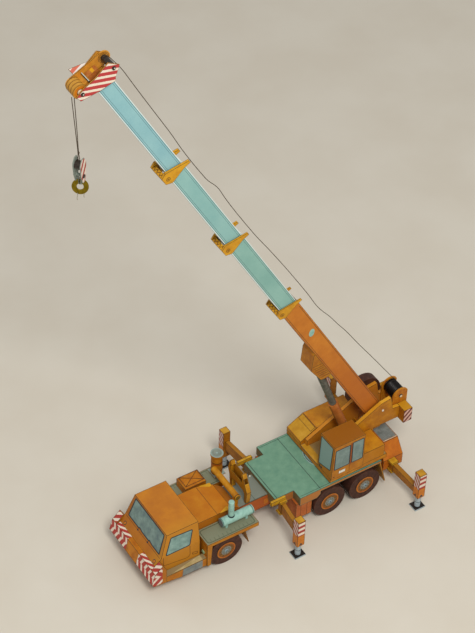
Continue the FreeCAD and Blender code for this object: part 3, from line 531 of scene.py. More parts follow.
FINISH = {
    # Satin printed card of the truck cab: clouded orange with yellower folds. Its darker near side, front and rear are
    # partly print and partly painted shade.
    "cab_card": printed_card("printed_cab_card", "#B97220", "#AE6820", "#C67E20", "#D9A22A", 20.0,
                             [(NEAR, "#AE640E", 0.7), (FORE, "#9A5A16", 0.8), (AFT, "#9C580C", 0.7)],
                             bands=[(NEAR, 14.0, 30.0, "#C48A24", 0.55)]),
    # The same card on bumper, box and steps: more even orange. Its darker near side is partly print and partly painted
    # shade.
    "orange_card": printed_card("printed_orange_card", "#B9700F", "#A15A0C", "#C98218", "#DFA422", 8.0,
                                [(NEAR, "#A4600D", 0.6)]),
    # Engine cover: orange that deepens to the rear. Its darker near side is partly print and partly painted shade.
    "cover_card": printed_card("printed_cover_card", "#CC8618", "#BA7012", "#D89A24", "#E2A824", 10.0,
                               [(NEAR, "#A55E0D", 0.7)], bands=[(AFT, -178.0, -150.0, "#B4660C", 0.65)]),
    # Fender: grey-green tread plate print on top, orange at its sides and front. The faintly darker near side is partly
    # print and partly painted shade.
    "fender_card": printed_card("printed_fender_card", "#B4700F", "#9E5C0C", "#C48417", "#D79F22", 8.0,
                                [(UP, "#7F866F", 1.0), (NEAR, "#B0700F", 0.5)]),
    "step_card": printed_card("printed_step_card", "#B06A10", "#A25E0E", "#BE7C16", "#CBA635", 8.0,
                              [(UP, "#8C8260", 0.9)]),
    # Chassis: grey-blue deck plate, red-orange sides.
    "frame_card": printed_card("printed_frame_card", "#A6541C", "#96481A", "#B4601E", "#B87A20", 9.0,
                               [(UP, "#7E877C", 1.0), (NEAR, "#B4581E", 0.8)]),
    # Sprayed-looking grey-green main deck. Its dark brown front face is painted shade.
    "deck_card": printed_card("printed_deck_card", "#6E9880", "#64907A", "#78A188", "#93A88F", 7.0,
                              [(NEAR, "#B46C22", 1.0), (FAR, "#B46C22", 1.0), (FORE, "#7C5C26", 0.9)], fleck=0.25),
    "box_card": printed_card("printed_side_box_card", "#B4602A", "#A45420", "#C07034", "#C08A26", 8.0),
    # Tail: the darker rear face is partly print and partly painted shade.
    "tail_card": printed_card("printed_tail_card", "#BC6715", "#A95A11", "#C8781B", "#D08E26", 9.0,
                              [(AFT, "#A65811", 0.6)]),
    "mudguard_card": printed_card("printed_mudguard_card", "#B47818", "#A46A12", "#C48820", "#CC9426", 8.0),
    # Boom rest: the darker front face is painted shade.
    "rest_card": printed_card("printed_rest_card", "#B87E15", "#A06810", "#C8921D", "#DDB028", 7.0,
                              [(FORE, "#9C6210", 0.6)]),
    "mint_dark": plain_ink("dark_mint_ink", "#5C7F76", "#4E6E68"),
    "mauve_ink": plain_ink("mauve_grey_ink", "#77787E", "#6A6C70"),
    "steel_card": printed_card("printed_steel_card", "#7D867C", "#6C766E", "#8D958B", "#9AA095", 9.0),
    "ring_card": printed_card("printed_ring_card", "#86A79E", "#728F88", "#9ABAB0", None, 9.0),
    "mint_card": printed_card("printed_mint_card", "#93BDB0", "#7FA99C", "#A8CFC3", None, 5.0, rough=0.42),
    "filter_card": printed_card("printed_filter_card", "#A86A13", "#965C10", "#B87A18", None, 5.0,
                                [(UP, "#93A9A2", 1.0)]),
    "tube_card": printed_card("printed_tube_card", "#C28419", "#AE7014", "#D0961F", None, 6.0),
    # Upper works: each block in its own orange.
    "base_card": printed_card("printed_base_card", "#B47015", "#9F5F10", "#C4821B", "#D29C25", 9.0,
                              [(UP, "#8F8A62", 0.7)]),
    "crane_cab_card": printed_card("printed_crane_cab_card", "#AE6C14", "#9C5C10", "#BC7C1A", "#CF9A20", 9.0,
                                   [(UP, "#93570F", 0.95), (FORE, "#A86C16", 0.6)]),
    "housing_yellow": printed_card("printed_housing_yellow", "#C08E24", "#B27E1C", "#CC9A34", None, 8.0),
    # Crane cab windows: the lighter front panes are painted light.
    "crane_window": printed_card("printed_crane_window", "#738783", "#667A76", "#839690", None, 6.0,
                                 [(FORE, "#86A09A", 0.9)], rough=0.35),
    # Housings: the darker near side is partly print and partly painted shade.
    "housing_card": printed_card("printed_housing_card", "#BC7A14", "#A8680F", "#CC8C1A", "#E0A824", 10.0,
                                 [(NEAR, "#AE6C12", 0.6)]),
    # Long side plates: the lighter far plate is painted light that lifts its shaded inner face.
    "plate_card": printed_card("printed_plate_card", "#B2700E", "#9E600C", "#C48414", "#DDA01C", 9.0,
                               [(UP, "#DCA024", 0.95), (FORE, "#DCA024", 0.6)],
                               bands=[(FAR, 2.0, 8.0, "#C67C20", 0.8)]),
    "base_tube_card": printed_card("printed_base_tube_card", "#C27420", "#B4681C", "#CC8026", None, 16.0,
                                   bands=[((-0.495, 0.0, -0.869), -140.0, -60.0, "#B4621C", 0.75)]),
    "bracket_card": printed_card("printed_bracket_card", "#A86812", "#94560E", "#B87A17", "#D09C22", 7.0),
    "collar_card": printed_card("printed_collar_card", "#C98F19", "#B57C14", "#D8A020", "#E4B42A", 6.0),
    "head_block": printed_card("printed_head_block", "#A8642C", "#985424", "#B87234", None, 4.0),
    "head_card": printed_card("printed_head_card", "#C6862C", "#B47622", "#D29436", "#DCA438", 6.0),
    "sheave_card": printed_card("printed_sheave_card", "#BA8430", "#A87224", "#C8943A", None, 3.0),
    # Luffing barrel: the dark brown forward-facing side is painted shade.
    "barrel_card": printed_card("printed_barrel_card", "#B0662C", "#A05A24", "#BC7434", None, 6.0,
                                [(FORE, "#6E3E10", 0.95)], rough=0.42),
    "rod_card": printed_card("printed_rod_card", "#56564E", "#484842", "#6A6A60", None, 4.0, rough=0.4),
    "drum_card": plain_ink("black_drum_card", "#100E0C", "#1A1614", 3.0, 0.4),
    # Winch cheeks: the darker far-facing faces are partly print and partly painted shade.
    "cheek_card": printed_card("printed_cheek_card", "#B06A10", "#9A4A0C", "#C47E16", "#D89C22", 5.0,
                               [(FAR, "#9A400C", 0.6)]),
    "weight_card": printed_card("printed_weight_card", "#AC6A0E", "#985A0C", "#BE7C14", "#DDA822", 7.0,
                                [(UP, "#C89217", 0.8)]),
    "leg_card": printed_card("printed_outrigger_card", "#A06412", "#8C5610", "#B47618", "#C49A22", 6.0,
                             [(UP, "#A4701E", 0.8)]),
    "hinge_card": printed_card("printed_hinge_card", "#C0901C", "#AC7C16", "#CEA024", "#DDB42E", 5.0),
    "jack_card": printed_card("printed_jack_card", "#A2B0B6", "#8E9CA4", "#B4C0C4", None, 3.0, rough=0.4),
    "pad_card": plain_ink("black_pad_card", "#1C1612", "#2A221C", 3.0, 0.55),
    # Tyre: dark brown matt card rolled into a drum.
    "tyre_card": printed_card("printed_tyre_card", "#46291F", "#38201A", "#553428", "#5E3C2E", 4.0, rough=0.62),
    "wheel_card": printed_card("printed_wheel_card", "#5A4030", "#4A3226", "#6A4C38", None, 2.5),
    "wheel_orange": plain_ink("printed_wheel_orange", "#C07412", "#A8620E", 3.0),
    "wheel_brown": plain_ink("printed_wheel_brown", "#704915", "#855A19", 2.0),
    "wheel_grey": plain_ink("printed_wheel_grey", "#85857C", "#70736C", 1.5),
    "wheel_blue": plain_ink("printed_wheel_blue", "#93A6AC", "#7C9098", 1.5),
    "spare_face": printed_card("printed_spare_card", "#4A3020", "#3C261A", "#5A3C28", "#6A4A30", 4.0),
    # Inks and small trim.
    "brown_ink": plain_ink("dark_brown_ink", "#4A2A14", "#5A340C"),
    "green_ink": plain_ink("dark_green_ink", "#33463C", "#40564A"),
    "window_ink": plain_ink("blue_black_ink", "#1C2830", "#2A3840"),
    "window_print": printed_card("printed_window_blue", "#6E8682", "#5A7074", "#849C96", None, 7.0, rough=0.35),
    "side_window": printed_card("printed_side_window", "#7C9B94", "#68847F", "#90AEA6", None, 7.0, rough=0.35),
    "step_blue": printed_card("printed_step_blue", "#78807E", "#6A7274", "#868C86", None, 6.0),
    "step_cream": printed_card("printed_step_cream", "#B8A878", "#A0905E", "#C8BA94", None, 6.0),
    "cream_ink": plain_ink("cream_ink", "#DDD0B4", "#CBBB9C"),
    "white_ink": plain_ink("white_ink", "#E2E0D6", "#D2CEC0"),
    "red_ink": plain_ink("red_ink", "#A83015", "#962A13"),
    "yellow_ink": plain_ink("yellow_ink", "#D9A21E", "#CC9217"),
    "green_lamp": plain_ink("pale_green_ink", "#A8C89A", "#94B888"),
    "orange_ink": plain_ink("orange_ink", "#CC7A12", "#BC6A0E"),
    "deep_orange_ink": plain_ink("deep_orange_ink", "#9C4A0C", "#8A3E0A"),
    "grille_card": printed_card("printed_grille_card", "#7E8480", "#6E7470", "#8E9490", None, 4.0),
    "olive_brown": plain_ink("olive_brown_ink", "#7A5F1A", "#6A5016"),
    "olive_ink": plain_ink("olive_ink", "#5C6248", "#4E543E"),
    "thread": plain_ink("waxed_thread", "#4A3A28", "#362A1C", 0.8, 0.7),
    "pale_wire": plain_ink("pale_steel_wire", "#C4C0B4", "#A8A498", 0.8, 0.4, metallic=1.0),
    "wire": plain_ink("dark_wire", "#4A4238", "#5E5548", 1.2, 0.4, metallic=1.0),
    "brass": plain_ink("dull_brass", "#9C8426", "#83701C", 2.4, 0.38, metallic=1.0),
    "steel_pin": plain_ink("black_pin", "#26201C", "#383028", 1.2, 0.35),
    # Red and cream barred card, one material for each way the bars run.
    "bars_down": striped_card("barred_card_down", RED, CREAM, (0, 0.92, -0.38), 6.6, 0.60, 0.1),
    "bars_up": striped_card("barred_card_up", RED, CREAM, (0, 0.92, 0.38), 6.6, 0.60, 0.1),
    "bars_fore": striped_card("barred_card_fore", RED, CREAM, (0.62, 0, 0.72), 7.6, 0.62, 0.35),
    "bars_back": striped_card("barred_card_back", RED, CREAM, (0.62, 0, -0.72), 7.6, 0.62, 0.35),
    "bars_across": striped_card("barred_card_across", RED, CREAM, (0.85, 0.5, 0), 4.8, 0.55, 0.0),
    "bars_leg": striped_card("barred_leg_card", "#A84A40", "#D8CCC0", (0.0, 0.75, 0.66), 4.2, 0.5, 0.3),
    "bars_head": striped_card("barred_head_card", "#B83A3C", "#E8DCC8", BARS_ACROSS_HEAD, BAR_PERIOD, 0.58, BAR_PHASE),
    "bars_flap": striped_card("barred_flap_card", "#D8705A", "#EDE4DC", (0.0, 1.0, 0.35), 8.0, 0.5, 0.35),
    "sheave_yellow": plain_ink("printed_sheave_yellow", "#C89438", "#B8842C", 2.0),
    "bars_hook": striped_card("barred_hook_card", "#A03A34", "#DCCCBC", (0.9, 0.0, 0.42), 4.6, 0.42, 0.1),
    "bars_weight": striped_card("barred_weight_card", "#6A2C26", "#DCB2A2", (0.7, 0.0, 0.7), 5.0, 0.5, 0.0),
    "bars_level": striped_card("barred_level_card", "#A83A30", CREAM, (0.0, 0.0, 1.0), 6.8, 0.5, 0.25),
    "bars_back_weight": striped_card("barred_back_card", "#6A2C26", "#DCB2A2", (0.0, 0.7, 0.7), 5.0, 0.5, 0.0),
}
for i, tone, light in ((1, "#80AEA4", "#90BBB0"), (2, "#83B3B0", "#93BEB9"), (3, "#84B4BC", "#93C0C4")):
    FINISH[f"section_{i}"] = boom_card(f"printed_boom_card_{i}", BOOM_HALF - TUBE_STEP * i, tone, light)

NODE_FINISH = {
    "chassis_frame": "frame_card",
    "truck_cab": "cab_card",
    "bumper": "orange_card",
    "side_steps": "step_card",
    "engine_cover": "cover_card",
    "fender_left": "fender_card",
    "fender_right": "fender_card",
    "storage_box": "orange_card",
    "muffler": "mint_card",
    "air_filter": "filter_card",
    "intake_tube": "tube_card",
    "boom_rest": "rest_card",
    "main_deck": "deck_card",
    "slewing_ring": "ring_card",
    "side_boxes": "box_card",
    "mudguards": "mudguard_card",
    "tail_body": "tail_card",
    "outrigger_yokes": "hinge_card",
    "upper_base": "base_card",
    "crane_cab": "crane_cab_card",
    "left_housing": "housing_card",
    "right_housing": "housing_card",
    "side_frame": "plate_card",
    "winch_cheeks": "cheek_card",
    "winch_drum": "drum_card",
    "counterweight": "weight_card",
    "spare_tyre": "tyre_card",
    "spare_disc": "spare_face",
    "boom_base": "base_tube_card",
    "cylinder_bracket": "bracket_card",
    "boom_section_1": "section_1",
    "boom_section_2": "section_2",
    "boom_section_3": "section_3",
    "collar_0": "collar_card",
    "collar_1": "collar_card",
    "collar_2": "collar_card",
    "boom_head": "head_card",
    "head_sheaves": "sheave_card",
    "luff_barrel": "barrel_card",
    "luff_rod": "rod_card",
    "hoist_falls": "thread",
    "hook_block": "steel_card",
    "hook_ring": "brass",
    "tyres_front": "tyre_card",
    "tyres_middle": "tyre_card",
    "tyres_rear": "tyre_card",
    "wheels_front": "wheel_card",
    "wheels_middle": "wheel_card",
    "wheels_rear": "wheel_card",
}
for corner in ("front_left", "front_right", "rear_left", "rear_right"):
    NODE_FINISH[f"outrigger_{corner}"] = "leg_card"
    NODE_FINISH[f"jack_{corner}"] = "jack_card"

for node, thing in frame["nodes"].items():
    thing.data.materials.clear()
    thing.data.materials.append(FINISH[NODE_FINISH[node]])


# ---------------------------------------------------------------- truck cab and bumper
def both(points, mirrored):
    """The drawing and, for the far side, the same drawing with its side axis turned over."""
    p = np.asarray(points, float)
    return p * np.array([-1.0, 1.0]) if mirrored else p


def truck_cab():
    """Windscreen, side windows, doors, lamps and blank front of the truck cab."""
    pane("truck_cab", "front", [(-28, 41.2), (-9, 41.2), (-8, 42.4), (-3, 41.2), (9, 41.2), (10, 42.4), (15, 41.2),
                                (28, 41.2), (25.8, 61.9), (-25.8, 61.9)], 0.7, 1.3)
    for y in (-9.5, 8.5):
        line("truck_cab", "front", "window_ink", [(y, 41.6), (y + 5.5, 43.6), (y + 13.0, 44.2)], 0.5, at=(0, 50))
        panel("truck_cab", "front", "window_ink", circle(y, 39.0, 0.9, 16), at=(y, 38))
    for side in ("near", "far"):
        pane("truck_cab", side, [(179.6, 40.9), (172.6, 59.2), (149.6, 57.8), (154.0, 40.9)], 1.5, 1.0, "side_window")
        door = [(182.4, 39.6), (182.2, 28.2), (158.0, 24.4), (155.0, 24.8), (153.6, 27.0), (153.8, 39.6)]
        line("truck_cab", side, "brown_ink", door, 0.45)
        line("truck_cab", side, "brown_ink", rounded([(145.6, 24.0), (151.0, 25.4), (151.0, 28.2), (145.6, 27.0)], 0.9),
             0.5, closed=True)
        line("truck_cab", side, "brown_ink", [(186.6, 17.0), (146.0, 13.8)], 0.35)
    line("truck_cab", "front", "brown_ink", [(-31, 38.9), (31, 38.9)], 0.4, at=(0, 36))
    for y in (-27.0, 27.0):
        for r, ink, rise in ((1.9, "window_ink", 0.08), (1.3, "orange_ink", 0.12)):
            panel("truck_cab", "front", ink, circle(y, 33.0, r), rise)
    pane("truck_cab", "rear", [(-20, 43), (20, 43), (18.5, 58), (-18.5, 58)], 1.2, 0.9)
    fold_lines("truck_cab", "brown_ink")


def bumper():
    """Barred ends, a dark line and folds of the bumper."""
    for s, low_bars, high_bars in ((-1, "bars_down", "bars_up"), (1, "bars_up", "bars_down")):
        side = "near" if s > 0 else "far"
        inner = s * 10.0
        for low, high, bars in ((18, 24, low_bars), (24, 29.6, high_bars), (14.3, 17.5, low_bars)):
            panel("bumper", "front", bars, [(inner, low), (s * 39.7, low), (s * 39.7, high), (inner, high)], at=(s * 20, (low + high) / 2))
        line("bumper", "front", "brown_ink", [(inner, 18), (inner, 29.6)], 0.4, at=(s * 20, 22))
        ledge = [(190.7, s * 11.0), (190.7, s * 32.6), (195.1, s * 32.6), (195.1, s * 11.0)]
        panel("bumper", "top", "bars_across", ledge, at=(193, s * 20))
        panel("bumper", side, "bars_fore", [(187.6, 14.6), (197, 14.6), (198.6, 18.0), (197.0, 24.5), (187.6, 24.5)])
        panel("bumper", side, "bars_back", [(187.6, 24.5), (197.0, 24.5), (195.0, 29.7), (187.6, 36.8)], at=(190, 28))
        panel("bumper", "top", "bars_across", [(187.4, s * 33.3), (194.9, s * 33.3), (194.9, s * 39.7), (187.4, s * 39.7)])
    fold_lines("bumper", "brown_ink")


def steps():
    """Foot boards behind the front wheels' cab step: cream wedge, grey-blue tread, orange foot."""
    for side in ("near", "far"):
        panel("side_steps", side, "step_blue", [(144.0, 10.0), (166.0, 10.0), (165.0, 19.6), (144.0, 19.6)])
        line("side_steps", side, "brown_ink", [(144.0, 10.0), (166.0, 10.0), (165.0, 19.6)], 0.35)
    for s in (1, -1):
        panel("side_steps", "top", "step_cream", [(176.0, s * 39.0), (166.0, s * 39.4), (143.6, s * 39.4), (143.6, s * 33.3)])
    fold_lines("side_steps", "brown_ink")


# ---------------------------------------------------------------- behind the cab
def engine_bay():
    """Cover folds, storage box cross, muffler bands, air filter bands and intake tube end."""
    line("engine_cover", "top", "brown_ink", [(115.6, -19.6), (115.6, 19.6)], 0.4, at=(118, 0))
    for s in (1, -1):
        panel("engine_cover", "top", "yellow_ink", [(113.0, s * 19.5), (103.5, s * 14.4), (100.6, s * 15.4), (100.6, s * 19.0)],
              at=(105, s * 16))
    fold_lines("engine_cover", "brown_ink")
    lid = [(104.5, -36.4), (124.5, -36.4), (124.5, -23), (104.5, -23)]
    line("storage_box", "top", "brown_ink", lid, 0.45, closed=True)
    lines("storage_box", "top", "brown_ink", [[lid[0], lid[2]], [lid[1], lid[3]]], 0.45)
    for side in ("near", "far"):
        lines("storage_box", side, "brown_ink", [[(103.6, 47.5), (125.4, 47.5)], [(114.5, 39.6), (114.5, 47.5)]], 0.4)
    fold_lines("storage_box", "brown_ink")
    for z, y in ((23.4, 34.0), (19.0, 37.0)):
        lamp = rounded([(y - 2.0, z - 1.6), (y + 2.0, z - 1.6), (y + 2.0, z + 1.6), (y - 2.0, z + 1.6)], 0.8)
        for s, node in ((1, "fender_left"), (-1, "fender_right")):
            shape = lamp * [s, 1]
            panel(node, "front", "green_lamp" if z > 20 else "orange_ink", shape, 0.7 if z > 20 else 0.4)
            line(node, "front", "brown_ink", shape, 0.35, closed=True)
    for x in (84.2, 116.9):
        lay("carrier", "mint_dark",
            turned([(4.2, -0.5), (4.5, -0.5), (4.5, 0.5), (4.2, 0.5)], (x, 28.8, 46), FORE, 40, True))
    lay("carrier", "mauve_ink", turned([(0, 0), (4.1, 0), (4.1, 0.08), (0, 0.08)], (117.5, 28.8, 46), FORE))
    lay("carrier", "window_ink", turned([(3.3, 0), (3.55, 0), (3.55, 0.14), (3.3, 0.14)], (117.5, 28.8, 46), FORE, 40, True))
    lay("carrier", "window_ink", turned([(2.6, -0.8), (3.4, -0.8), (3.1, 0.5), (2.6, 0.5)], (106.3, 28.8, 50.8), UP, 32, True))
    lay("carrier", "mint_card", turned([(0, -0.2), (2.8, -0.2), (2.8, 0.2), (2.3, 0.45), (0, 0.5)], (106.3, 28.8, 69), UP, 32))
    lay("carrier", "mint_dark", turned([(2.55, -0.3), (2.8, -0.3), (2.8, 0.3), (2.55, 0.3)], (106.3, 28.8, 61.5), UP, 32, True))
    lay("carrier", "mint_dark", turned([(0, 0), (1.25, 0), (1.25, 0.1), (0, 0.1)], (106.3 + 0.9, 28.8 + 2.38, 58.5), (0.35, 0.94, 0), 24))
    for z, ink in ((45.5, "deep_orange_ink"), (54.0, "deep_orange_ink"), (55.8, "brown_ink"), (63.5, "brown_ink")):
        lay("carrier", ink, turned([(5.4, -0.6), (5.72, -0.6), (5.72, 0.6), (5.4, 0.6)], (84, -33, z), UP, 40, True))
    lay("carrier", "steel_card", turned([(0, -0.6), (4.2, -0.6), (5.0, 0.1), (4.7, 0.25), (3.2, -0.2), (0, -0.35)],
                                        (84, -33, 66.3), UP, 40))
    lay("carrier", "olive_brown", turned([(0, 0), (2.5, 0), (2.5, 0.08), (0, 0.08)], (89.5, 14, 50), NEAR, 32))
    lay("carrier", "brown_ink", turned([(2.9, -0.4), (3.3, -0.4), (3.3, 0.4), (2.9, 0.4)], (89.5, 12.6, 50), NEAR, 32, True))


def fenders():
    """Dark rounded outline and faint ribs on each fender's top, lines on its front."""
    for node, s in (("fender_left", 1), ("fender_right", -1)):
        top = rounded([(85.5, s * 22.5), (137.5, s * 22.5), (137.5, s * 39.4), (85.5, s * 39.4)], 3.0)
        line(node, "top", "olive_ink", top, 0.8, closed=True, at=(88, s * 38))
        lines(node, "top", "olive_ink", [[(x, s * 35.2), (x, s * 38.6)] for x in np.arange(88.5, 136, 4.5)], 0.35,
              at=(88, s * 38))
        line(node, "front", "brown_ink", [(s * 23, 12), (s * 39, 12), (s * 39, 36), (s * 23, 36)], 0.45, closed=True)
        fold_lines(node, "brown_ink")


def chassis():
    """Plate lines on the frame's top, and the deck's lines."""
    lines("chassis_frame", "top", "green_ink", [[(58, -14.3), (82, -14.3)], [(58, 14.3), (82, 14.3)], [(70, -14.3), (70, 14.3)]],
          0.45, at=(72, 0))
    lay("carrier", "white_ink", turned([(0, 0), (1.0, 0), (0.9, 0.5), (0, 0.8)], (58.4, -13.4, 36.6), UP, 20))
    for side in ("near", "far"):
        panel("chassis_frame", side, "orange_ink", [(55.4, 24.6), (60.0, 24.6), (60.0, 31.2), (55.4, 31.2)])
    fold_lines("chassis_frame", "brown_ink")
    for x, w in ((11, 0.6), (53.4, 0.8)):
        reach = 26.5 if x > 30 else 38
        line("main_deck", "top", "green_ink", [(x, -reach), (x, reach)], w, at=(x - 3, 0))
    for s in (1, -1):
        lines("main_deck", "top", "green_ink", [[(-60, s * 36.6), (33, s * 36.6)]], 0.45, at=(20, s * 20))
    fold_lines("main_deck", "green_ink")
    fold_lines("side_boxes", "brown_ink")
    fold_lines("mudguards", "brown_ink")
    fold_lines("tail_body", "brown_ink")
    fold_lines("boom_rest", "brown_ink")
    fold_lines("outrigger_yokes", "brown_ink")
    for side in ("near", "far"):
        for x in (24.5, 31.5):
            line("side_boxes", side, "brown_ink", [(x, 10), (x, 28.5)], 0.4)


def tail():
    """Grey ribbed tread on the tail's top and red lamps behind."""
    corners = [(-75.6, -19.2, 41.8), (-75.6, 19.2, 41.8), (-91.4, 19.2, 41.8), (-91.4, -19.2, 41.8)]
    lay("carrier", "grille_card", ridged(np.array(corners)[[1, 2, 3, 0]], 11, 0.22))
    for s in (-1, 1):
        line("tail_body", "top", "cream_ink", [(-75.6, s * 19.9), (-91.4, s * 19.9)], 0.8)
    for s in (-1, 1):
        panel("tail_body", "rear", "red_ink", rounded([(s * 24, 19), (s * 30, 19), (s * 30, 23), (s * 24, 23)], 0.8))
        panel("tail_body", "rear", "orange_ink", rounded([(s * 18, 19), (s * 23, 19), (s * 23, 23), (s * 18, 23)], 0.8))


# ---------------------------------------------------------------- wheels
def wheels():
    """Printed wheel face: orange ring, brown dish, grey hub with bolts and a blue-grey cap, on every wheel."""
    for x, body in ((105.0 - 1.26, "axle_front"), (0.0, "axle_middle"), (-41.26, "axle_rear")):
        lo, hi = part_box("wheels_" + body[5:])
        cx = (lo[0] + hi[0]) / 2 / MM - MIDDLE[0]
        for s in (-1, 1):
            face = np.array([cx, s * 40.0, 17.8])
            out = np.array([0.0, s, 0.0])
            lay(body, "wheel_orange", turned([(8.6, -0.3), (9.95, -0.3), (9.95, 0.1), (9.3, 0.3), (8.6, 0.1)], face, out, 56, True))
            lay(body, "wheel_brown", turned([(5.4, -0.3), (8.6, -0.3), (8.6, 0.05), (7.0, 0.02), (5.4, 0.05)], face, out, 56, True))
            lay(body, "wheel_grey", turned([(0, -0.3), (5.4, -0.3), (5.4, 0.1), (4.4, 0.28), (0, 0.28)], face, out, 48))
            lay(body, "wheel_blue", turned([(0, 0.2), (1.9, 0.2), (1.8, 0.7), (1.2, 0.95), (0, 0.95)], face, out, 32))
            lay(body, "red_ink", turned([(8.35, 0), (8.75, 0), (8.75, 0.2), (8.35, 0.2)], face, out, 56, True))
            lay(body, "window_ink", turned([(0, 0.9), (0.8, 0.9), (0.8, 1.02), (0, 1.02)], face, out, 20))
            turn = np.linspace(0, 2 * np.pi, 8, endpoint=False)
            for a in turn:
                spot = face + np.array([3.7 * math.cos(a), 0, 3.7 * math.sin(a)])
                lay(body, "steel_pin", turned([(0, 0.2), (0.42, 0.2), (0.36, 0.5), (0, 0.55)], spot, out, 10))
            for a in np.linspace(0, 2 * np.pi, 10, endpoint=False) + 0.2:
                spot = face + np.array([6.5 * math.cos(a), 0, 6.5 * math.sin(a)])
                lay(body, "brown_ink", turned([(0, 0.0), (0.6, 0.0), (0.6, 0.07), (0, 0.07)], spot, out, 12))


# ---------------------------------------------------------------- outriggers
def outriggers():
    """Barred legs, dark panels and caps of the four outriggers."""
    corners = [("front_left", 54, 66.5, 50, 1), ("front_right", 54, -66.5, 50, -1),
               ("rear_left", -79.5, 76.5, 48, 1), ("rear_right", -79.5, -76.5, 48, -1)]
    for name, x, y, cap, s in corners:
        node = "outrigger_" + name
        side = "near" if s > 0 else "far"
        low = 31.0 if "front" in name else 29.0
        for view, across in ((side, x), ("front", y), ("rear", y)):
            face = [(across - 3.7, low), (across + 3.7, low), (across + 3.7, cap - 0.6), (across - 3.7, cap - 0.6)]
            panel(node, view, "bars_level" if view == side else "bars_leg", face, at=(across + 3.0, 24))
            foot = [(across - 3.7, 16.3), (across + 3.7, 16.3), (across + 3.7, low - 0.3), (across - 3.7, low - 0.3)]
            panel(node, view, "orange_ink", foot, rise=0.05, at=(across + 3.0, 24))
            mark = [(across - 2.2, 17.2), (across + 2.2, 17.2), (across, 20.4)]
            panel(node, view, "window_ink", mark, rise=0.1, at=(across + 3.0, 18))
        lid = [(x - 3.5, y - 3.5), (x + 3.5, y - 3.5), (x + 3.5, y + 3.5), (x - 3.5, y + 3.5)]
        panel(node, "top", "housing_yellow", lid)
        fold_lines(node, "brown_ink")
        pad = turned([(0, 0), (2.6, 0), (2.6, 0.5), (2.0, 0.9), (0, 0.9)], (x, y, 1.6), UP, 24)
        lay("jack_" + name, "pad_card", pad)
        lay("jack_" + name, "pad_card", slab([(x - 5.9, y - 5.1, 1.6), (x + 5.9, y - 5.1, 1.6), (x + 5.9, y + 5.1, 1.6),
                                              (x - 5.9, y + 5.1, 1.6)], UP, 0.06, 1.5))
        lay("jack_" + name, "window_ink", turned([(2.8, -0.3), (3.0, -0.3), (3.0, 0.3), (2.8, 0.3)], (x, y, 8.0), UP, 28, True))


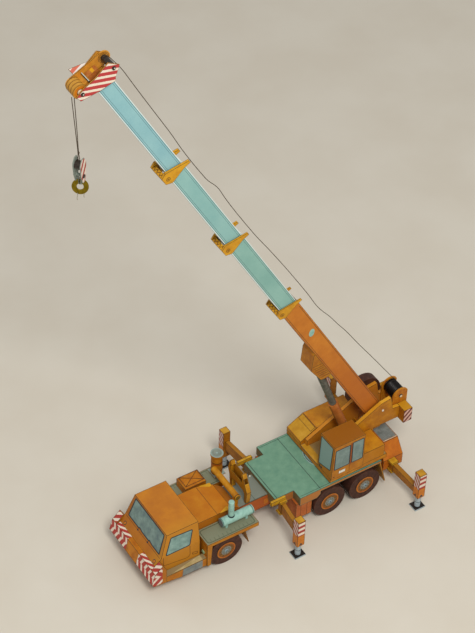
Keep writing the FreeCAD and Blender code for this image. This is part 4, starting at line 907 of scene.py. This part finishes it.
# ---------------------------------------------------------------- upper works
def upper_works():
    """Crane cab windows and door, housings' hatches, long plates' print, slewing ring."""
    pane("crane_cab", "front", [(17.4, 52.6), (35.8, 58.0), (36.8, 88.8), (17.4, 88.8)], 1.0, 0.9, "crane_window")
    for y in (18.9, 22.0):
        panel("crane_cab", "front", "window_ink", circle(y, 50.0, 1.35, 20))
    pane("crane_cab", "near", [(-2.8, 60.0), (-3.2, 86.2), (-19.8, 86.2), (-19.8, 60.0)], 1.0, 0.9, "crane_window")
    pane("crane_cab", "near", [(-22.8, 60.0), (-22.8, 87.6), (-35.4, 87.6), (-35.4, 60.0)], 1.0, 0.9, "crane_window")
    line("crane_cab", "near", "deep_orange_ink", [(-21.3, 59.0), (-21.3, 88.0)], 1.4)
    lines("crane_cab", "near", "brown_ink", [[(-20.6, 48.2), (-20.6, 88.4)], [(-22.0, 58.6), (-22.0, 88.4)]], 0.35)
    panel("crane_cab", "near", "white_ink", [(-8.6, 52.2), (-15.8, 52.2), (-15.8, 55.6), (-8.6, 55.6)])
    line("crane_cab", "near", "brown_ink", [(-8.6, 52.2), (-15.8, 52.2), (-15.8, 55.6), (-8.6, 55.6)], 0.25, closed=True)
    panel("crane_cab", "near", "brown_ink", circle(-3.0, 49.8, 0.8, 16))
    pane("crane_cab", "rear", [(18.5, 66), (36.5, 66), (36.5, 88), (18.5, 88)], 1.0, 0.9, "crane_window")
    pane("crane_cab", "far", [(-4, 64), (-4, 87), (-33, 87), (-33, 64)], 1.0, 0.9, "crane_window")
    fold_lines("crane_cab", "brown_ink")
    fold_lines("left_housing", "brown_ink")
    slope = [(-0.7, -37.5), (-17.6, -37.5), (-17.6, -14.5), (-0.7, -14.5)]
    panel("right_housing", "top", "housing_yellow", slope, at=(-8, -26))
    hatch = [(-12.4, -37.0), (-17.4, -37.0), (-17.4, -15.6), (-12.4, -15.6)]
    line("right_housing", "top", "brown_ink", hatch, 0.4, closed=True, rise=0.14)
    fold_lines("right_housing", "brown_ink")
    fold_lines("upper_base", "brown_ink")
    fold_lines("side_frame", "brown_ink", inside=lambda p: abs(p[:, 1]) > 9.0)
    fold_lines("counterweight", "brown_ink")
    panel("upper_base", "top", "housing_yellow", [(-7.6, -13.6), (-0.6, -13.6), (-0.6, 15.6), (-7.6, 15.6)], at=(-3, 0))
    panel("upper_base", "top", "base_card", [(-8.4, -9.4), (-65, -9.4), (-65, 9.4), (-8.4, 9.4)], at=(-14, 0))
    panel("upper_base", "top", "housing_yellow", [(-46, -9.2), (-49, -9.2), (-49, 9.2), (-46, 9.2)], rise=0.14)
    web = np.array([(-62.0, -9.75, 47.4), (-62.0, 9.75, 47.4), (-60.0, 9.75, 57.0), (-60.0, -9.75, 57.0)])
    lay("upper", "cheek_card", slab(web, (0.98, 0, -0.2), 0.3, 0.3))
    for s in (1, -1):
        foot = np.array([(-64.0, s * 9.95, 55.0), (-77.0, s * 9.95, 55.0), (-77.0, s * 9.95, 64.5), (-64.0, s * 9.95, 64.5)])
        lay("upper", "cheek_card", slab(foot, (0, -s, 0), 0.2, 0.3))
    lay("upper", "white_ink", turned([(0, -0.1), (1.2, -0.1), (1.1, 0.45), (0, 0.6)], (-75.5, 14.0, 80.9), NEAR, 24))
    lay("upper", "white_ink", turned([(0, -0.1), (1.2, -0.1), (1.1, 0.45), (0, 0.6)], (-75.5, -14.0, 80.9), FAR, 24))
    lay("carrier", "window_ink", turned([(19.2, 0), (19.9, 0), (19.9, 0.08), (19.2, 0.08)], (-18, 0, 42.2 - 0.02), UP, 72, True))
    for y in (-22.0, 22.0):
        block = [(-96.2, 59.8), (-105.5, 59.8), (-105.5, 75.8), (-96.2, 75.8)]
        panel("counterweight", "near" if y > 0 else "far", "bars_weight", block, at=(-104, 62))
    panel("counterweight", "rear", "bars_back_weight", [(-21.6, 60), (21.6, 60), (21.6, 75.6), (-21.6, 75.6)], at=(18, 62))


def winch():
    """Winch pin head with its dark ring, rope wraps on the drum, pale rim of the far flange."""
    centre = np.array([-99.2, 0.0, 85.2])
    for s in (1, -1):
        lay("winch", "cream_ink", turned([(0, 0), (1.3, 0), (1.4, 0.35), (0, 0.5)], centre + [0, s * 10.3, 0], (0, s, 0), 28))
        lay("upper", "steel_pin", turned([(1.7, 0), (2.2, 0), (2.2, 0.1), (1.7, 0.1)], centre + [0, s * 9.8, 0], (0, s, 0), 40, True))
    turns = 9.0
    t = np.linspace(0, 1, int(turns * 22))
    angle = 2 * np.pi * turns * t
    y = -5.2 + 11.5 * t
    coil = np.stack([centre[0] + 7.05 * np.cos(angle), y, centre[2] + 7.05 * np.sin(angle)], 1)
    lay("winch", "drum_card", tube(coil, 0.42, (0, 1, 0), 6))
    lay("winch", "ring_card", turned([(6.9, 0), (7.6, 0), (7.6, 0.5), (6.9, 0.5)], centre + [0, -7.9, 0], (0, 1, 0), 40, True))


def spare_wheel():
    """Printed face of the spare wheel, on its far side."""
    face = np.array([-74 - 0.0, -23.5, 81.5])
    out = (0, -1, 0)
    lo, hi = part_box("spare_disc")
    face[0] = (lo[0] + hi[0]) / 2 / MM - MIDDLE[0]
    lay("upper", "wheel_orange", turned([(8.3, -0.2), (9.9, -0.2), (9.9, 0.1), (8.3, 0.1)], face, out, 56, True))
    lay("upper", "wheel_brown", turned([(4.6, -0.2), (8.3, -0.2), (8.3, 0.05), (4.6, 0.05)], face, out, 56, True))
    lay("upper", "wheel_grey", turned([(0, -0.2), (4.6, -0.2), (4.6, 0.1), (3.6, 0.2), (0, 0.2)], face, out, 48))


# ---------------------------------------------------------------- boom
COLLAR_U = (221.8, 339.9, 455.8)


# Upper ends of the slanted lines printed on the bracket, along the boom.
BRACKET_LINES = (105.0, 108.6, 111.4, 115.0, 118.6, 121.2, 125.0)

# Middle of the blank oval badge on the base tube, along and off the boom.
BADGE = (170.9, -5.2)


def boom_parts():
    """Pinstripes of the base tube, prints of the collars, bars of the head plates, rivets and rope guides."""
    for side in ("boom_near", "boom_far"):
        for w in (1.3, -13.9):
            line("boom_base", side, "brown_ink", [(12, w), (214, w)], 0.4, at=(60, -8))
    badge = circle(0.0, 0.0, 1.0, 36) * [4.6, 2.9]
    badge = badge @ np.array([[0.8, 0.6], [-0.6, 0.8]]) + BADGE
    for side in ("boom_near", "boom_far"):
        panel("boom_base", side, "mint_card", badge)
    fold_lines("boom_base", "brown_ink", 0.22)
    fold_lines("cylinder_bracket", "brown_ink")
    for side in ("boom_near", "boom_far"):
        for u in BRACKET_LINES:
            line("cylinder_bracket", side, "brown_ink", [(u, -16.2), (u + 4.5, -25.2)], 0.5)
    bodies = ("boom", "section_1", "section_2")
    for i, u in enumerate(COLLAR_U):
        node = f"collar_{i}"
        fold_lines(node, "brown_ink", 0.2, 0.04)
        for side, s in (("boom_near", 1), ("boom_far", -1)):
            centre = boom(u + 0.0, 9.0 * s, -15.4)
            for r in (0.35, 1.5):
                lay(bodies[i], "brown_ink", turned([(r, -0.1), (r + 0.4, -0.1), (r + 0.4, 0.1), (r, 0.1)], centre, (0, s, 0), 28, True))
        zigzag = boom(u + 4.5, np.linspace(-7.8, 7.8, 9), np.where(np.arange(9) % 2, -16.3, -19.0))
        lay(bodies[i], "brown_ink", strip(zigzag, ALONG_BOOM, 0.5))
    fold_lines("boom_head", "brown_ink", 0.2, 0.04, inside=lambda p: p[:, 2] < 596.0, short=0.12)
    head_parts()


HEAD_PLATE = [(575.6, 1.5), (578.1, 2.9), (585.0, 10.8), (593.6, 5.0), (590.3, -8.8), (590.3, -20.4), (588.2, -28.4),
              (583.3, -27.7), (578.2, -11.9)]
ROLLER = (586.4, 6.1)
SHEAVE = (587.3, -23.7)


def head_parts():
    """Barred side plates and flap, black roller, ringed sheaves with a cream hub, rivets with a painted white glint,
    the bar between with a painted white highlight, and a painted yellow highlight on the inner block.
    """
    across = np.array([0.0, 1.0, 0.0])
    for side, s in (("boom_near", 1), ("boom_far", -1)):
        plate = np.array(HEAD_PLATE)
        lay("section_3", "bars_head", slab(boom(plate[:, 0], s * 9.0, plate[:, 1]), (0, s, 0), 0.07, 0.1))
        for u, w in (ROLLER, SHEAVE):
            lay("section_3", "steel_pin", turned([(0, 0), (1.7, 0), (1.5, 0.8), (0.8, 1.0), (0, 1.0)], boom(u, s * 9.0, w), (0, s, 0), 24))
            # Painted glint: a small white cap set just off the middle of each black pin head.
            lay("section_3", "white_ink", turned([(0, 0.9), (0.55, 0.9), (0.45, 1.15), (0, 1.15)],
                                                 boom(u, s * 9.0, w + 0.35), (0, s, 0), 16))
    for u in (589.68, 590.52):
        flap = boom(u, np.array([-9.2, -16.4, -9.2]), np.array([-3.9, -18.7, -18.7]))
        lay("section_3", "bars_flap", slab(flap, ALONG_BOOM if u > 590 else -ALONG_BOOM, 0.07, 0.1))
    lay("section_3", "steel_pin", turned([(2.4, 0), (2.72, 0), (2.72, 14.0), (2.4, 14.0)], boom(ROLLER[0], -6.2, ROLLER[1]), across, 36, True))
    for r, ink in ((4.3, "brown_ink"), (3.3, "brown_ink")):
        lay("section_3", ink, turned([(r, -0.05), (r + 0.35, -0.05), (r + 0.35, 0.07), (r, 0.07)], boom(ROLLER[0], -6.2, ROLLER[1]), across, 40, True))
    for y in (-5.3, -1.9, 1.7, 5.3):
        lay("section_3", "brown_ink", turned([(5.7, -0.2), (6.06, -0.2), (6.06, 0.2), (5.7, 0.2)], boom(SHEAVE[0], y, SHEAVE[1]), across, 48, True))
    for y in (-3.6, -0.1, 3.5):
        lay("section_3", "sheave_yellow", turned([(5.8, -0.9), (6.08, -0.9), (6.02, 0.0), (6.08, 0.9), (5.8, 0.9)],
                                                 boom(SHEAVE[0], y, SHEAVE[1]), across, 48, True))
    end = boom(SHEAVE[0], 5.6, SHEAVE[1])
    lay("section_3", "orange_ink", turned([(0, 0), (4.9, 0), (4.9, 0.08), (0, 0.08)], end, across, 40))
    lay("section_3", "brown_ink", turned([(2.4, 0), (2.8, 0), (2.8, 0.14), (2.4, 0.14)], end, across, 32, True))
    lay("section_3", "cream_ink", turned([(0, 0.05), (2.3, 0.05), (2.2, 1.2), (0, 1.2)], end, across, 28))
    bar = boom(590.0, np.linspace(-5.0, 6.6, 7), -13.8)
    lay("section_3", "steel_pin", tube(bar, 0.75, ALONG_BOOM, 10))
    # Painted highlight: a white strip along the black bar.
    lay("section_3", "white_ink", strip(bar + ALONG_BOOM * 0.55 + OFF_BOOM * 0.2, ALONG_BOOM, 0.5, 0.3))
    block = [(580.4, -2.6), (588.2, -2.6), (588.2, -12.4), (580.4, -12.4)]
    y = -2.4
    lay("section_3", "head_block", slab(boom(np.array(block)[:, 0], y, np.array(block)[:, 1]), (0, 1, 0), 2.6, 2.6))
    floor = [(583.5, -12.6), (589.4, -12.6), (589.0, -18.2), (583.5, -18.2)]
    lay("section_3", "head_card", slab(boom(np.array(floor)[:, 0], -1.5, np.array(floor)[:, 1]), (0, 1, 0), 5.5, 5.5))
    # Painted highlight: a yellow strip across the front end of the orange block.
    lay("section_3", "yellow_ink", slab(boom(np.array([588.2] * 4), np.array([y - 2.2, y + 2.2, y + 2.2, y - 2.2]),
                                            np.array([-5.4, -5.4, -8.0, -8.0])), ALONG_BOOM, 0.12))


def hook_dress():
    """Barred near plate, black roller and pin discs of the block, and the brass ring, which hangs turned to the light."""
    lo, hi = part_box("hook_block")
    middle = (np.array(lo) + np.array(hi)) / 2 / MM - MIDDLE
    turn = math.radians(30.0)
    run = np.array([math.cos(turn), math.sin(turn), 0.0])
    out = np.array([-math.sin(turn), math.cos(turn), 0.0])
    axis_z = 509.305
    centre = np.array([middle[0], middle[1], axis_z])
    outline = np.array([(1.4, 6.9), (3.9, 2.6), (3.3, -8.6), (1.4, -15.0), (-1.4, -15.0), (-3.3, -8.6), (-3.9, 2.6), (-1.4, 6.9)])
    for s, ink in ((1, "bars_hook"), (-1, "steel_card")):
        plate = centre + outline[:, :1] * run + outline[:, 1:] * np.array([0, 0, 1.0]) + out * s * 3.6
        lay("hook", ink, slab(plate, out * s, 0.06, 0.1))
    lay("hook", "steel_pin", turned([(3.3, -2.7), (3.62, -2.7), (3.62, 2.7), (3.3, 2.7)], centre, out, 36, True))
    for s in (-1, 1):
        lay("hook", "steel_pin", turned([(0, 0), (1.7, 0), (1.6, 0.5), (0, 0.7)], centre + [0, 0, -9.5] + out * s * 3.6, out * s, 24))
    lo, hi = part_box("hook_ring")
    ring = (np.array(lo) + np.array(hi)) / 2 / MM - MIDDLE
    facing = unit([0.564, 0.80, 0.205])
    band = [(2.7, -0.35), (2.85, -0.5), (6.45, -0.5), (6.6, -0.35), (6.6, 0.35), (6.45, 0.5), (2.85, 0.5), (2.7, 0.35)]
    piece = build("brass_ring", [turned(band, ring, facing, 64, True)], "brass", "hook")
    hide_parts("hook_ring")
    t = np.linspace(0, np.pi * 1.86, 25)
    loop = ring + np.array([0, 0, 5.6]) + np.stack([1.2 * np.sin(t) * 0.9, 1.2 * np.sin(t) * 0.3, 3.4 * np.cos(t)], 1) * [1, 1, 1]
    lay("hook", "wire", tube(loop, 0.28, out, 8))
    for side in (-2.1, 2.6):
        z = np.linspace(0, -7.0, 15)
        tail = ring + np.stack([side * 1.25 + 0.25 * np.sin(z * 0.9), np.full(15, 0.9), z - 4.4], 1)
        lay("hook", "pale_wire", tube(tail, 0.30, (0, 1, 0), 6))


def flat_falls():
    """Two threads from the head sheave down to the hook's knot, closing on each other as they go."""
    lo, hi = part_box("hoist_falls")
    top, low = hi[2] / MM, lo[2] / MM
    x = (lo[0] + hi[0]) / 2 / MM - MIDDLE[0]
    shells = []
    for s in (-1, 1):
        z = np.linspace(top + 2.5, low, 13)
        t = np.clip((top - z) / (top - low), 0, 1)
        wide = np.interp(t, [0, 0.5, 0.8, 1.0], [0.52, 0.30, 0.10, 0.55])
        lean = 2.0 * (1 - t) ** 1.2
        path = np.stack([x + lean + s * 2.0 * wide, np.full_like(z, 5.0) - 0.8 * lean, z], 1)
        shells.append(tube(path, 0.34, (0, 1, 0), 8))
    z = np.linspace(top - 0.79 * (top - low), top - 0.83 * (top - low), 9)
    knot = np.sin(np.linspace(0, np.pi, 9)) * 0.75
    shells.append(turned(np.stack([knot, z[::-1] - z[-1]], 1), (x, 5.0, z[-1]), UP, 12))
    piece = build("thread_falls", shells, "thread", "falls")
    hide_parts("hoist_falls")
    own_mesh(piece)


# The hoist rope above the boom: how far along the boom and how far off it, in mm.
ROPE = [(31, 27.0), (66, 24.5), (91, 22.5), (119, 21.0), (140, 18.6), (153, 17.8), (171, 14.9), (180, 14.1), (201, 14.7),
        (221.8, 14.5), (252, 13.9), (286, 12.6), (313, 11.0), (339.9, 10.5), (358, 10.4), (378, 10.7), (395, 11.9),
        (407, 8.6), (433, 8.0), (455.8, 8.2), (480, 9.4), (519, 10.0), (540, 10.4), (569, 11.2), (583.5, 9.4)]
ROPE_Y = -4.0


def rope_run(start, end, step=4.0):
    """Points of the rope from start to end along the boom: the table's heights joined by straight runs, eased by the
    mean of three heights taken a little apart."""
    u = np.linspace(start, end, int(round((end - start) / step)) + 1)
    table = np.array(ROPE)
    w = sum(np.interp(np.clip(u + d, ROPE[0][0], ROPE[-1][0]), table[:, 0], table[:, 1]) for d in (-5.0, 0.0, 5.0)) / 3
    return boom(u, ROPE_Y, w)


def hoist_rope():
    """Thread from the drum up over the boom to the head's roller: a tail from the drum, attached to no body, a run on
    the base tube, one run on each tube, carried by that tube, and the turn over the roller."""
    drum_top = np.array([-103.4, -5.0, 91.4])
    first = rope_run(ROPE[0][0], 66.0)
    tail = np.concatenate([drum_top + (first[0] - drum_top) * np.linspace(0, 1, 9)[:, None], first[1:]])
    piece = build("rope_tail", [tube(tail, 0.3, (0, 1, 0), 6)], "thread", None)
    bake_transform(piece)
    lay("boom", "thread", tube(rope_run(66.0, COLLAR_U[0]), 0.3, (0, 1, 0), 6))
    ends = (*COLLAR_U, 583.5)
    for i in (1, 2, 3):
        start, end = ends[i - 1], ends[i]
        piece = build(f"rope_run_{i}", [tube(rope_run(start, end), 0.3, (0, 1, 0), 6)], "thread", f"section_{i}")
        anchor = (boom(end, ROPE_Y, 0.0) + MIDDLE) * MM
        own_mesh(piece)
    angle = np.linspace(math.pi * 0.62, -0.35, 14)
    u, w = ROLLER[0] + 3.1 * np.cos(angle), ROLLER[1] + 3.1 * np.sin(angle)
    over = np.concatenate([rope_run(583.4, 583.5)[-1:], boom(u, ROPE_Y + 0.6, w)])
    lay("section_3", "thread", tube(over, 0.3, (0, 1, 0), 6))


truck_cab()
bumper()
steps()
engine_bay()
fenders()
chassis()
tail()
wheels()
outriggers()
upper_works()
winch()
spare_wheel()
boom_parts()
hook_dress()
hoist_rope()
for (body, finish), shells in LAID.items():
    build(f"{body}_{finish}", shells, finish, body)
flat_falls()


# ---------------------------------------------------------------- camera, floor and light
def studio():
    """Camera at the photograph's angle, plain pale floor, one broad lamp beside the camera and an even sky."""
    scene = bpy.context.scene
    scene.view_settings.view_transform = "Standard"
    right = np.array([-0.8460508, 0.53259561, 0.023237])
    down = np.array([0.35329056, 0.59279315, -0.72372789])
    ahead = np.array([-0.39922904, -0.60410115, -0.68969412])
    place = np.array([0.685407, 1.008002, 1.425298])
    data = bpy.data.cameras.new("photo_camera")
    data.lens = 109.22
    data.sensor_width = 36.0
    data.clip_end = 50.0
    camera = bpy.data.objects.new("photo_camera", data)
    turn = np.eye(4)
    turn[:3, 0], turn[:3, 1], turn[:3, 2], turn[:3, 3] = right, -down, -ahead, place
    camera.matrix_world = Matrix(turn.tolist())
    scene.collection.objects.link(camera)
    scene.camera = camera

    points = np.array([(-3.0, -3.0, 0.0), (3.0, -3.0, 0.0), (3.0, 3.0, 0.0), (-3.0, 3.0, 0.0)])
    mesh = bpy.data.meshes.new("studio_floor")
    mesh.from_pydata(points.tolist(), [], [(0, 1, 2, 3)])
    floor = bpy.data.objects.new("studio_floor", mesh)
    scene.collection.objects.link(floor)
    mesh.materials.append(plain_ink("pale_floor", "#D9D3C6", "#D5CEC0", 90.0, 0.85, 0.2))

    world = bpy.data.worlds.new("even_sky")
    scene.world = world
    world.use_nodes = True
    world.node_tree.nodes["Background"].inputs["Color"].default_value = (1.0, 0.985, 0.96, 1.0)
    world.node_tree.nodes["Background"].inputs["Strength"].default_value = 0.55
    target = np.array([-0.05, 0.0, 0.2])
    for name, offset, size, level in (("soft_key", right * 0.32 - down * 0.30, 0.6, 0.60),):
        spot = place + offset
        lamp = bpy.data.lights.new(name, "AREA")
        lamp.shape = "DISK"
        lamp.size = size
        lamp.energy = level * math.pi ** 2 * float(((spot - target) ** 2).sum())
        lamp.color = (1.0, 0.97, 0.92)
        holder = bpy.data.objects.new(name, lamp)
        holder.matrix_world = Matrix.Translation(spot.tolist()) @ Vector((spot - target).tolist()).to_track_quat("Z", "Y").to_matrix().to_4x4()
        scene.collection.objects.link(holder)


studio()
